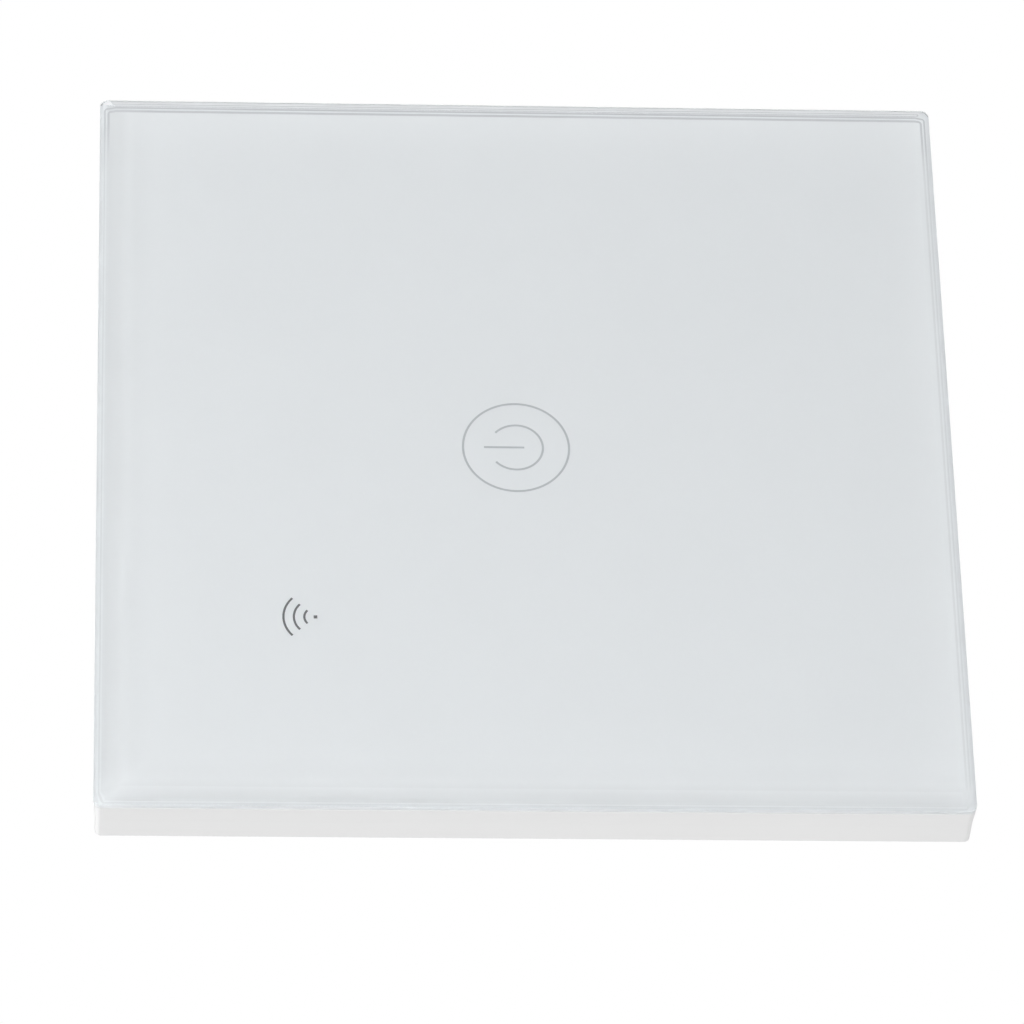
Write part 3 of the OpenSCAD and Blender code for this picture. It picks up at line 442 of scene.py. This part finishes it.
def finish(name, colour, roughness, **constants):
    """Material with a Principled shader: gives the material, its tree and the shader."""
    material = bpy.data.materials.new(name)
    material.use_nodes = True
    shader = material.node_tree.nodes["Principled BSDF"]
    shader.inputs["Base Color"].default_value = colour
    shader.inputs["Roughness"].default_value = roughness
    for socket, value in constants.items():
        shader.inputs[socket.replace("_", " ")].default_value = value
    return material, material.node_tree, shader


# %% [markdown]
# ## Patterns
# Patterns read Object coordinates, which are metres here, so a pattern's scale is one over the size
# of its marks. A noise rarely leaves the middle half of its range, so what it drives runs over that
# half.

# %% Helpers for patterns
NOISE_LOW = 0.25
NOISE_HIGH = 0.75


def spread(tree, scale=(1, 1, 1)):
    """Object coordinates, stretched by a Mapping node."""
    coords = tree.nodes.new("ShaderNodeTexCoord")
    mapping = tree.nodes.new("ShaderNodeMapping")
    mapping.inputs["Scale"].default_value = scale
    tree.links.new(coords.outputs["Object"], mapping.inputs["Vector"])
    return mapping.outputs["Vector"]


def noise(tree, size, detail=2.0, stretch=(1, 1, 1)):
    """Cloudy pattern whose marks have about this size."""
    node = tree.nodes.new("ShaderNodeTexNoise")
    node.inputs["Scale"].default_value = 1 / size
    node.inputs["Detail"].default_value = detail
    tree.links.new(spread(tree, stretch), node.inputs["Vector"])
    return node.outputs["Fac"]


def stripes(tree, pitch, direction, wobble=0.0):
    """Waves of one pitch across X, Y or Z, from 0 to 1 and back. A Wave texture repeats every
    2 pi / (20 scale)."""
    node = tree.nodes.new("ShaderNodeTexWave")
    node.bands_direction = direction
    node.inputs["Scale"].default_value = math.pi / (10 * pitch)
    node.inputs["Distortion"].default_value = wobble
    tree.links.new(spread(tree), node.inputs["Vector"])
    return node.outputs["Fac"]


def ramp(tree, value, low, high):
    """Number that goes from low to high as a noise goes over the middle half of its range."""
    node = tree.nodes.new("ShaderNodeMapRange")
    node.inputs["From Min"].default_value = NOISE_LOW
    node.inputs["From Max"].default_value = NOISE_HIGH
    node.inputs["To Min"].default_value = low
    node.inputs["To Max"].default_value = high
    tree.links.new(value, node.inputs["Value"])
    return node.outputs["Result"]


def varied(tree, value, middle, changes):
    """Number round a middle value, which a noise takes from the first change to the second."""
    return ramp(tree, value, middle + changes[0], middle + changes[1])


def tint(tree, value, dark, light, start=NOISE_LOW, end=NOISE_HIGH):
    """Colour that goes from dark to light as a pattern goes from start to end."""
    node = tree.nodes.new("ShaderNodeValToRGB")
    node.color_ramp.elements[0].position = start
    node.color_ramp.elements[1].position = end
    node.color_ramp.elements[0].color = dark
    node.color_ramp.elements[1].color = light
    tree.links.new(value, node.inputs["Fac"])
    return node.outputs["Color"]


def combine(tree, operation, first, second):
    """Two patterns, or a pattern and a number, put together by a Math node."""
    node = tree.nodes.new("ShaderNodeMath")
    node.operation = operation
    for socket, value in zip(node.inputs, (first, second)):
        if isinstance(value, (int, float)):
            socket.default_value = value
        else:
            tree.links.new(value, socket)
    return node.outputs[0]


# %% [markdown]
# ## Relief and places
# Fine relief comes from a Bump node, which can start from a Bevel node where edges should look
# rounded. Some patterns depend on the place alone: how far along an axis a point lies, or how near
# it is to a side.

# %% Helpers for relief and places
ROUNDING_SAMPLES = 4


def relief(tree, shader, height, depth, edge=0.0):
    """Bump of a depth in metres, over edges that look rounded by a small radius where one is
    given."""
    bump = tree.nodes.new("ShaderNodeBump")
    bump.inputs["Distance"].default_value = depth
    tree.links.new(height, bump.inputs["Height"])
    if edge:
        bevel = tree.nodes.new("ShaderNodeBevel")
        bevel.samples = ROUNDING_SAMPLES
        bevel.inputs["Radius"].default_value = edge
        tree.links.new(bevel.outputs["Normal"], bump.inputs["Normal"])
    tree.links.new(bump.outputs["Normal"], shader.inputs["Normal"])


def rising(tree, axis, start, end, low, high):
    """Number that goes from low to high between two places along one axis."""
    axes = tree.nodes.new("ShaderNodeSeparateXYZ")
    tree.links.new(spread(tree), axes.inputs[0])
    node = tree.nodes.new("ShaderNodeMapRange")
    node.interpolation_type = "SMOOTHSTEP"
    for socket, value in zip(("From Min", "From Max", "To Min", "To Max"), (start, end, low, high)):
        node.inputs[socket].default_value = value
    tree.links.new(axes.outputs[axis], node.inputs["Value"])
    return node.outputs["Result"]


def border(tree, start, end):
    """Number from 0 to 1 between two distances from the left side or the top of the glass,
    whichever is nearer."""
    left = rising(tree, "X", end - glass_w / 2, start - glass_w / 2, 1.0, 0.0)
    top = rising(tree, "Z", glass_w / 2 - start, glass_w / 2 - end, 0.0, 1.0)
    return combine(tree, "MAXIMUM", left, top)


def blend(tree, factor, first, second):
    """Colour that goes from a pattern to a plain colour as the factor goes from 0 to 1."""
    node = tree.nodes.new("ShaderNodeMix")
    node.data_type = "RGBA"
    tree.links.new(factor, node.inputs["Factor"])
    tree.links.new(first, node.inputs["A"])
    node.inputs["B"].default_value = second
    return node.outputs["Result"]


# %% [markdown]
# ## Finish of the glass
# Clear low-iron glass has hardly any colour, only a touch of blue. Its face and bevel are polished,
# with faint patches where hands have touched it. Its narrow side is left ground, so it scatters
# light and reads as a pale line. Two materials would do. Here one is enough, whose roughness rises
# behind the bevel.

# %% Finish of the glass
GLASS_TINT = (0.985, 0.995, 1.0, 1)
GLASS_IOR = 1.5
TOUCHED_SIZE = 9 * MM
TOUCHED_ROUGHNESS = 0.012
GROUND_ROUGHNESS = 1.0


def clear_glass():
    """Glass whose roughness is that of touched patches on the face, and of a ground surface on the
    side."""
    constants = {"IOR": GLASS_IOR, "Transmission_Weight": 1.0}
    material, tree, shader = finish("clear_glass", GLASS_TINT, 0.0, **constants)
    polish = ramp(tree, noise(tree, TOUCHED_SIZE, detail=4), 0.0, TOUCHED_ROUGHNESS)
    ground = rising(tree, "Y", edge_centre.y, edge_centre.y + EDGE_R, 0.0, GROUND_ROUGHNESS)
    tree.links.new(combine(tree, "MAXIMUM", polish, ground), shader.inputs["Roughness"])
    return material


finishes = {"glass": clear_glass()}
glass.data.materials.append(finishes["glass"])
print("glass of index", GLASS_IOR)

# %% [markdown]
# ## Inks
# The white ink behind the glass is a dense matt coat with a slight cloud from the screen print. Along
# the left side and the top it carries painted shade that deepens towards the edge, with a narrow
# strip of painted light close to it. The marks are thinner inks: a light grey one that almost melts
# into the white, and a darker one. Lines of painted shadow run round the print, darkest along the
# right side, away from the key.

# %% Inks
INK_ROUGHNESS = 0.6
CLOUD_SIZE = 14 * MM
INK_GRAIN_SIZE = 0.08 * MM
INK_GRAIN_DEPTH = 0.002 * MM
WHITE_INK = paint(245.5, 248, 249.7)
WHITE_CLOUD = 0.002
GREY_INK = paint(196, 200, 203)
GREY_CLOUD = 0.02
DARK_INK = paint(100, 102, 104)
DARK_CLOUD = 0.04
# Painted shadow of the lines round the print: the faint grey all round, the strong grey along the
# right side, away from the key
FAINT_SHADOW_LINE = shade(WHITE_INK, 0.905)
STRONG_SHADOW_LINE = paint(212, 214, 217)
SHADOW_STRONG_FROM = 0.40 * glass_w
SHADOW_STRONG_TO = 0.48 * glass_w
# Each band, painted shade and in the last row painted light: distance from the side where it
# starts, distance where it is full, change of the ink's brightness
PAINTED_SHADE_RIMS = (
    (6.0 * MM, 3.0 * MM, -0.04),
    (3.3 * MM, 2.0 * MM, -0.11),
    (1.3 * MM, 0.8 * MM, 0.05),
)


def printed_ink(name, colour, cloud, shade_rims=()):
    """Matt ink with a cloud of this strength, and with bands of painted shade and painted light one
    over the other along the left side and the top."""
    material, tree, shader = finish(name, colour, INK_ROUGHNESS)
    dark, light = shades(colour, (1 - cloud, 1 + cloud))
    shown = tint(tree, noise(tree, CLOUD_SIZE, detail=3), dark, light)
    for start, end, change in shade_rims:
        shown = blend(tree, border(tree, start, end), shown, shade(colour, 1 + change))
    tree.links.new(shown, shader.inputs["Base Color"])
    relief(tree, shader, noise(tree, INK_GRAIN_SIZE), INK_GRAIN_DEPTH)
    return material


def painted_shadow_ink(name, faint, strong, start, end):
    """Painted shadow: a grey that goes from faint to strong between two places along X."""
    material, tree, shader = finish(name, faint, INK_ROUGHNESS)
    depth = rising(tree, "X", start, end, 0.0, 1.0)
    tree.links.new(tint(tree, depth, faint, strong, 0.0, 1.0), shader.inputs["Base Color"])
    return material


# The white print gets painted shade along its left side and top, with a narrow strip of painted light
# near the edge
finishes["white_print"] = printed_ink("white_ink_and_painted_shade", WHITE_INK, WHITE_CLOUD, PAINTED_SHADE_RIMS)
white_back.data.materials.append(finishes["white_print"])
touch_mark.data.materials.append(printed_ink("grey_ink", GREY_INK, GREY_CLOUD))
wireless_mark.data.materials.append(printed_ink("dark_ink", DARK_INK, DARK_CLOUD))
# The lines round the print get painted shadow, darkest along the right side
shadow_line_ink = painted_shadow_ink("painted_shadow_line", FAINT_SHADOW_LINE, STRONG_SHADOW_LINE, SHADOW_STRONG_FROM, SHADOW_STRONG_TO)
shadow_lines.data.materials.append(shadow_line_ink)
print("inks:", WHITE_INK[:3], GREY_INK[:3], DARK_INK[:3])

# %% [markdown]
# ## Moulded plastics
# The frame, the base and the housing come from spark-eroded moulds, which leave a fine even grain
# and slightly softened edges. A smooth grey would look like putty, so a finish has three scales: a
# slow drift of colour, the grain in the relief, and a little variation of gloss.

# %% Moulded plastics
DRIFT_SIZE = 18 * MM
DRIFT_SHADES = (0.985, 1.01)
GLOSS_SIZE = 3 * MM
GLOSS_CHANGES = (-0.04, 0.05)
GRAIN_SIZE = 0.09 * MM
GRAIN_DEPTH = 0.004 * MM
EDGE = 0.12 * MM
SHARP_PLASTIC = "panel_plastic"
# Each row: colour, gloss
PLASTICS = {
    "panel_plastic": (paint(227, 227, 227), 0.34),
    "base_plastic": (paint(226, 226, 223), 0.46),
    "housing_plastic": (paint(222, 222, 217), 0.48),
    "terminal_plastic": (paint(58, 132, 78), 0.40),
    "black_plastic": (paint(34, 34, 36), 0.45),
    "relay_shell": (paint(36, 86, 150), 0.30),
    "coil_former": (paint(214, 208, 190), 0.45),
    "fuse_case": (paint(112, 62, 34), 0.35),
}


def moulded_plastic(name, colour, gloss, edge):
    """Plastic with drifting colour, a fine grain and a gloss that varies a little round its value."""
    material, tree, shader = finish(name, colour, gloss)
    drift = tint(tree, noise(tree, DRIFT_SIZE, detail=3), *shades(colour, DRIFT_SHADES))
    roughness = varied(tree, noise(tree, GLOSS_SIZE, detail=3), gloss, GLOSS_CHANGES)
    tree.links.new(drift, shader.inputs["Base Color"])
    tree.links.new(roughness, shader.inputs["Roughness"])
    relief(tree, shader, noise(tree, GRAIN_SIZE), GRAIN_DEPTH, edge)
    return material


for slot, (colour, gloss) in PLASTICS.items():
    finishes[slot] = moulded_plastic(slot, colour, gloss, 0.0 if slot == SHARP_PLASTIC else EDGE)
frame_lip.data.materials.append(finishes["panel_plastic"])
print(len(PLASTICS), "plastics")

# %% [markdown]
# ## Metals
# Screws and springs are plated, the cages are brass, the shield can is rolled sheet. Rolled and
# turned metal shows fine lines along one direction, so its noise is stretched, and its gloss
# changes along those lines.

# %% Metals
STAIN_SIZE = 2.5 * MM
STAIN_SHADES = (0.82, 1.05)
LINES_SIZE = 0.25 * MM
LINES_DEPTH = 0.004 * MM
LINES_CHANGES = (-0.07, 0.10)
METAL_EDGE = 0.08 * MM
# Each row: colour, gloss, stretch of the lines
METALS = {
    "spring_steel": (paint(196, 196, 194), 0.24, (1, 1, 0.1)),
    "plated_screw": (paint(202, 204, 206), 0.26, (0.2, 1, 1)),
    "shield_can": (paint(190, 191, 188), 0.34, (0.08, 1, 1)),
    "gold_pins": (paint(222, 184, 104), 0.24, (1, 0.1, 1)),
    "brass_cage": (paint(206, 180, 112), 0.30, (1, 1, 0.1)),
    "copper_tongue": (paint(206, 154, 118), 0.32, (1, 1, 0.1)),
    "relay_iron": (paint(164, 166, 170), 0.36, (0.1, 1, 1)),
}


def worked_metal(name, colour, gloss, stretch=(1, 1, 1), edge=METAL_EDGE):
    """Metal with slight stains, and with lines in its relief and its gloss."""
    material, tree, shader = finish(name, colour, gloss, Metallic=1.0)
    grain = noise(tree, LINES_SIZE, detail=4, stretch=stretch)
    stains = tint(tree, noise(tree, STAIN_SIZE, detail=4), *shades(colour, STAIN_SHADES))
    tree.links.new(stains, shader.inputs["Base Color"])
    tree.links.new(varied(tree, grain, gloss, LINES_CHANGES), shader.inputs["Roughness"])
    relief(tree, shader, grain, LINES_DEPTH, edge)
    return material


for slot, (colour, gloss, stretch) in METALS.items():
    finishes[slot] = worked_metal(slot, colour, gloss, stretch)
print(len(METALS), "metals")

# %% [markdown]
# ## Circuit boards
# A board is glass cloth under a coloured solder mask. Copper tracks lie under the mask and show as
# slightly lighter and raised lines. Two sets of waves, across and along, are mixed by a blocky cell
# pattern, so that runs of tracks turn and end as on a routed board.

# %% Circuit boards
CELL_SIZE = 6 * MM
TRACK_PITCH = 0.9 * MM
CELL_SHARE = 0.5
TRACK_CREST = 0.72
TRACK_EDGE = (0.4, 0.6)
TRACK_H = 0.03 * MM
MASK_ROUGHNESS = 0.3
MASK_COAT = 0.3
# Each row: colour of the mask, colour over a track
BOARDS = {
    "touch_board_mask": (paint(22, 92, 58), paint(48, 132, 82)),
    "radio_board_mask": (paint(20, 28, 52), paint(38, 50, 84)),
    "power_board_mask": (paint(28, 98, 52), paint(60, 142, 78)),
}


def solder_mask(name, mask, track):
    """Coated board with tracks where the wave that its cell picks is above a crest."""
    material, tree, shader = finish(name, mask, MASK_ROUGHNESS, Coat_Weight=MASK_COAT)
    cells = tree.nodes.new("ShaderNodeTexVoronoi")
    cells.distance = "CHEBYCHEV"
    cells.inputs["Scale"].default_value = 1 / CELL_SIZE
    tree.links.new(spread(tree), cells.inputs["Vector"])
    pick = combine(tree, "GREATER_THAN", cells.outputs["Color"], CELL_SHARE)
    other = combine(tree, "SUBTRACT", 1.0, pick)
    across = combine(tree, "MULTIPLY", stripes(tree, TRACK_PITCH, "X"), pick)
    along = combine(tree, "MULTIPLY", stripes(tree, TRACK_PITCH, "Z"), other)
    tracks = combine(tree, "GREATER_THAN", combine(tree, "ADD", across, along), TRACK_CREST)
    tree.links.new(tint(tree, tracks, mask, track, *TRACK_EDGE), shader.inputs["Base Color"])
    relief(tree, shader, tracks, TRACK_H)
    return material


for slot, (mask, track) in BOARDS.items():
    finishes[slot] = solder_mask(slot, mask, track)
print(len(BOARDS), "boards")

# %% [markdown]
# ## Other finishes
# The rest are single materials: chip epoxy with a sandy matt top, wound wire with its turns,
# ferrite, wrapping tape, sleeves and coats of the power parts, the adhesive sheet, the lamps' resin
# and the clear light guide.

# %% Other finishes
GRIT_SHADES = (0.85, 1.12)
PATCH_SIZE = 2 * MM
PATCH_CHANGES = (-0.05, 0.06)
TURN_DEPTH = 0.05 * MM
TURN_WOBBLE = 0.4
TURN_CHANGES = (0.1, 0.0)
TURN_EDGE = (0.1, 0.7)
# Each row: colour, gloss, size and depth of the grit, further constants of the shader
SANDY = {
    "chip_epoxy": (paint(38, 39, 41), 0.62, 0.12 * MM, 0.012 * MM, {}),
    "ferrite": (paint(58, 58, 60), 0.55, 0.3 * MM, 0.03 * MM, {}),
    "film_case": (paint(214, 190, 74), 0.34, 0.4 * MM, 0.012 * MM, {}),
    "disc_coat": (paint(38, 84, 150), 0.3, 0.7 * MM, 0.05 * MM, {"Coat_Weight": 0.4}),
    "adhesive": (paint(226, 226, 220), 0.5, 0.5 * MM, 0.012 * MM, {}),
    "lamp": (paint(236, 220, 150), 0.25, 0.3 * MM, 0.012 * MM, {"Subsurface_Weight": 0.3}),
    "clear_guide": ((0.95, 0.98, 1, 1), 0.08, 1 * MM, 0.002 * MM, {"Transmission_Weight": 1.0}),
}
# Each row: colour between the turns, colour of the turns, their pitch, the axis across them, gloss
WOUND = {
    # The wire's darker colour between the turns is painted shade in the grooves
    "enamelled_wire": (paint(92, 42, 22), paint(186, 96, 48), 0.16 * MM, "Y", 0.26),
    "yellow_tape": (paint(206, 164, 40), paint(232, 196, 66), 1.6 * MM, "Y", 0.28),
    "can_sleeve": (paint(28, 36, 44), paint(40, 52, 62), 6 * MM, "X", 0.3),
}


def sandy(name, colour, gloss, size, depth, constants):
    """Grit in the colour and the relief, and patches in the gloss."""
    material, tree, shader = finish(name, colour, gloss, **constants)
    grit = noise(tree, size, detail=3)
    tree.links.new(tint(tree, grit, *shades(colour, GRIT_SHADES)), shader.inputs["Base Color"])
    roughness = varied(tree, noise(tree, PATCH_SIZE), gloss, PATCH_CHANGES)
    tree.links.new(roughness, shader.inputs["Roughness"])
    relief(tree, shader, grit, depth, EDGE)
    return material


def wound(name, dark, light, pitch, direction, gloss):
    """Turns of one pitch, darker, rougher and deeper between them."""
    material, tree, shader = finish(name, light, gloss)
    turns = stripes(tree, pitch, direction, TURN_WOBBLE)
    # Dark between the turns: on the wire this is painted shade in the grooves
    tree.links.new(tint(tree, turns, dark, light, *TURN_EDGE), shader.inputs["Base Color"])
    tree.links.new(varied(tree, turns, gloss, TURN_CHANGES), shader.inputs["Roughness"])
    relief(tree, shader, turns, TURN_DEPTH)
    return material


finishes.update({slot: sandy(slot, *row) for slot, row in SANDY.items()})
finishes.update({slot: wound(slot, *row) for slot, row in WOUND.items()})
print(sorted(finishes))

# %% [markdown]
# ## Dressing the construction model
# Every solid of the construction model names its finish in the record. Materials could be picked
# one by one in the editor. Here each solid gets the finish with its slot's name.

# %% Dressing the construction model
for name, node in nodes.items():
    material = finishes[slot_of[name]]
    if node.material_slots:
        node.material_slots[0].material = material
    else:
        node.data.materials.append(material)
print(len(nodes), "nodes dressed in", len({slot_of[n] for n in nodes}), "finishes")

# %% [markdown]
# ## Contact spring
# Between the touch board and the print sits a conical spring that carries the touch signal. The
# construction model has it with few sides. Here the same coil is a round wire: a circle carried
# along a spiral that narrows and climbs at a steady rate, framed by the direction of the wire.

# %% Contact spring
SPRING_AXIS = np.array([0.0, 0.95]) * MM
SPRING_WIRE = 0.5 * MM
SPRING_NARROW = 3.6 * MM
SPRING_TURNS = 3
TURN_POINTS = 64
WIRE_SIDES = 14


def swept_tube(path, radius, sides):
    """Circle carried along a path: at each point it lies across the path, and it starts along the
    path's direction crossed with Y."""
    ahead = np.gradient(path, axis=0)
    ahead /= np.linalg.norm(ahead, axis=1, keepdims=True)
    first = np.cross(ahead, [0.0, 1.0, 0.0])
    first /= np.linalg.norm(first, axis=1, keepdims=True)
    second = np.cross(ahead, first)
    a = np.linspace(0, 2 * math.pi, sides, endpoint=False)[None, :, None]
    points = path[:, None] + radius * (np.cos(a) * first[:, None] + np.sin(a) * second[:, None])
    n = len(path)
    faces = grid_faces(n, sides, close_cols=True)
    faces += [list(range(sides))[::-1], list(range((n - 1) * sides, n * sides))]
    return points.reshape(-1, 3), faces


low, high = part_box("touch_spring")
t = np.linspace(0, 1, SPRING_TURNS * TURN_POINTS + 1)
angle = 2 * math.pi * SPRING_TURNS * t
wide = (high.x - low.x - SPRING_WIRE) / 2
radius = wide + (SPRING_NARROW - wide) * t
x = SPRING_AXIS[0] + radius * np.cos(angle)
y = high.y - SPRING_WIRE / 2 + (low.y - high.y + SPRING_WIRE) * t
z = SPRING_AXIS[1] + radius * np.sin(angle)
wire = swept_tube(np.stack([x, y, z], -1), SPRING_WIRE / 2, WIRE_SIDES)
spring = piece("contact_spring", *wire, "front_panel", "spring_steel", ["touch_spring"])
spring.data.materials.append(finishes["spring_steel"])

# %% [markdown]
# ## Solder joints
# Every lead of a power part comes through its board and is wetted by solder, which climbs it as a
# hollow cone. The joints could be drawn one by one. Here a joint is a curve turned round the lead,
# and it is repeated where the construction model has its leads.

# %% Solder joints
# Places are (x, z) in millimetres. A pair is its middle and half its spacing, a grid its columns
# and rows.
LEAD_PAIRS = (
    ((-3.5, -2), 5),
    ((-3.5, -8), 2.5),
    ((16.75, -3.75), 2.5),
    ((8, -9), 2.5),
    ((-17, 2.1), 1.75),
    ((-17, -6.9), 1.75),
)
RELAY_LEADS = ((5.25, 4.5), (10.75, 4.5), (16.25, 4.5), (5.25, 18.5), (16.25, 18.5))
TRANSFORMER_LEADS = ((-16, -11, -6), (9.4, 18.2))
TERMINAL_TAILS = ((-7.62, 0, 7.62), (-18.7,))
SOLDER_FOOT = 0.85 * MM
SOLDER_TIP = 0.42 * MM
SOLDER_H = 1.06 * MM
SOLDER_HOLLOW = 2.5
SOLDER_STEPS = 8
SOLDER_SIDES = 20
CONTACT = 0.005 * MM
TINNED = paint(204, 205, 206)
TINNED_GLOSS = 0.30


def turned(radius, depth, centre):
    """Curve of radii and depths turned round an axis along Y:
    (x, z) = centre + radius (cos a, sin a)."""
    a = np.linspace(0, 2 * math.pi, SOLDER_SIDES, endpoint=False)
    x = centre[0] + radius[:, None] * np.cos(a)
    z = centre[1] + radius[:, None] * np.sin(a)
    y = np.broadcast_to(depth[:, None], x.shape)
    n = len(radius)
    faces = grid_faces(n, SOLDER_SIDES, close_cols=True)
    faces += [list(range(SOLDER_SIDES))[::-1], list(range((n - 1) * SOLDER_SIDES, n * SOLDER_SIDES))]
    return np.stack([x, y, z], -1).reshape(-1, 3), faces


pairs = np.concatenate([np.array(at) + np.array([[-half, 0], [half, 0]]) for at, half in LEAD_PAIRS])
grids = [np.array([(x, z) for x in xs for z in zs]) for xs, zs in (TRANSFORMER_LEADS, TERMINAL_TAILS)]
leads = np.concatenate([pairs, np.array(RELAY_LEADS), *grids]) * MM
chips_low, chips_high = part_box("power_chips")
t = np.linspace(0, 1, SOLDER_STEPS)
radius = SOLDER_TIP + (SOLDER_FOOT - SOLDER_TIP) * (1 - t) ** SOLDER_HOLLOW
depth = chips_high.y - CONTACT - SOLDER_H * t
cones = joined([turned(radius, depth, lead) for lead in leads])
tinned = worked_metal("tinned", TINNED, TINNED_GLOSS, edge=0.0)
joints = piece("solder_joints", *cones, "base", "plated_screw")
joints.data.materials.append(tinned)
print(len(leads), "solder joints")

# %% [markdown]
# ## Chip legs
# Chips stand on flat legs with two bends. An Array of one leg would do for a single chip. Here a
# leg is a flat strip carried along a bent path, repeated in rows on both sides of every chip of the
# construction model.

# %% Chip legs
CHIPS_AT = np.array(((-15, 6), (6, -2), (-12, -12))) * MM
CHIP_HALF = 2.5 * MM
LEG_REACH = np.array((-0.1, 0.35, 0.55, 1.0)) * MM
LEG_ROWS = np.array((-1.5, -0.5, 0.5, 1.5)) * MM
LEG_W = 0.4 * MM
LEG_T = 0.14 * MM


def bent_leg(path, row):
    """Flat strip along a path of (x, y) points: half a thickness to either side of it, half a width
    up and down."""
    along = np.gradient(path, axis=0)
    along /= np.linalg.norm(along, axis=1, keepdims=True)
    aside = np.stack([-along[:, 1], along[:, 0]], -1) * LEG_T / 2
    corners = np.stack([path + aside, path + aside, path - aside, path - aside], 1)
    z = np.broadcast_to(row + np.array([-1, 1, 1, -1]) * LEG_W / 2, corners.shape[:2])
    n = len(path)
    faces = grid_faces(n, 4, close_cols=True) + [[3, 2, 1, 0], list(range(4 * n - 4, 4 * n))]
    return np.concatenate([corners, z[..., None]], -1).reshape(-1, 3), faces


def chip_legs(centre, half, middle, foot):
    """Four legs to either side of a chip, from the middle of its height down to its board."""
    depth = np.array([middle, middle, foot, foot])
    paths = [np.stack([centre[0] + side * (half + LEG_REACH), depth], -1) for side in (-1, 1)]
    return [bent_leg(path, centre[1] + row) for path in paths for row in LEG_ROWS]


middle = (chips_low.y + chips_high.y) / 2
foot = chips_high.y - CONTACT - LEG_T / 2
legs = [leg for at in CHIPS_AT for leg in chip_legs(at, CHIP_HALF, middle, foot)]
power_legs = piece("power_chip_legs", *joined(legs), "base", "plated_screw", smooth=False)
power_legs.data.materials.append(tinned)

low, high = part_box("touch_chip")
at = np.array([low.x + high.x, low.z + high.z]) / 2
legs = chip_legs(at, (high.x - low.x) / 2, (low.y + high.y) / 2, low.y + CONTACT + LEG_T / 2)
touch_legs = piece("touch_chip_legs", *joined(legs), "front_panel", "plated_screw", smooth=False)
touch_legs.data.materials.append(tinned)

# %% [markdown]
# ## Floor
# A pale floor lies some way below the switch, which hangs as on its wall, and takes its shadow. A
# plane would do. Here it is a disc of rings and spokes, so that its rim is equally far all round.

# %% Floor
FLOOR_DROP = 0.09
FLOOR_R = 0.42
FLOOR_RINGS = 24
FLOOR_SPOKES = 96

radii = np.linspace(FLOOR_R / FLOOR_RINGS, FLOOR_R, FLOOR_RINGS)[:, None]
spokes = np.linspace(0, 2 * math.pi, FLOOR_SPOKES, endpoint=False)[None, :]
rings = np.stack([radii * np.cos(spokes), radii * np.sin(spokes), 0 * radii * spokes], -1)
points = rings.reshape(-1, 3) + np.array([0, 0, cad_box[0].z - FLOOR_DROP])
faces = [f[::-1] for f in grid_faces(FLOOR_RINGS, FLOOR_SPOKES, close_cols=True)]
mesh = bpy.data.meshes.new("floor")
mesh.from_pydata(points.tolist(), [], faces + [list(range(FLOOR_SPOKES))])
floor = bpy.data.objects.new("floor", mesh)
scene.collection.objects.link(floor)
print("floor at", round(points[0, 2], 4), "m")

# %% [markdown]
# ## Finish of the floor
# For the camera alone, the floor goes over to the white of the background towards its rim, so that
# no edge shows. A Mix Shader does it, driven by the distance from the middle.

# %% Finish of the floor
FLOOR_COLOUR = paint(240, 240, 240)
FLOOR_ROUGHNESS = 0.8
FLOOR_FADE = (0.16, 0.40)

material, tree, shader = finish("pale_floor", FLOOR_COLOUR, FLOOR_ROUGHNESS)
far = tree.nodes.new("ShaderNodeVectorMath")
far.operation = "LENGTH"
tree.links.new(spread(tree, (1, 1, 0)), far.inputs[0])
fade = tree.nodes.new("ShaderNodeMapRange")
fade.interpolation_type = "SMOOTHSTEP"
fade.inputs["From Min"].default_value = FLOOR_FADE[0]
fade.inputs["From Max"].default_value = FLOOR_FADE[1]
tree.links.new(far.outputs["Value"], fade.inputs["Value"])
seen = tree.nodes.new("ShaderNodeLightPath").outputs["Is Camera Ray"]
white = tree.nodes.new("ShaderNodeEmission")
mixed = tree.nodes.new("ShaderNodeMixShader")
tree.links.new(combine(tree, "MULTIPLY", fade.outputs["Result"], seen), mixed.inputs["Fac"])
tree.links.new(shader.outputs["BSDF"], mixed.inputs[1])
tree.links.new(white.outputs["Emission"], mixed.inputs[2])
tree.links.new(mixed.outputs["Shader"], tree.nodes["Material Output"].inputs["Surface"])
floor.data.materials.append(material)
print("floor fades from", FLOOR_FADE[0], "to", FLOOR_FADE[1], "m")
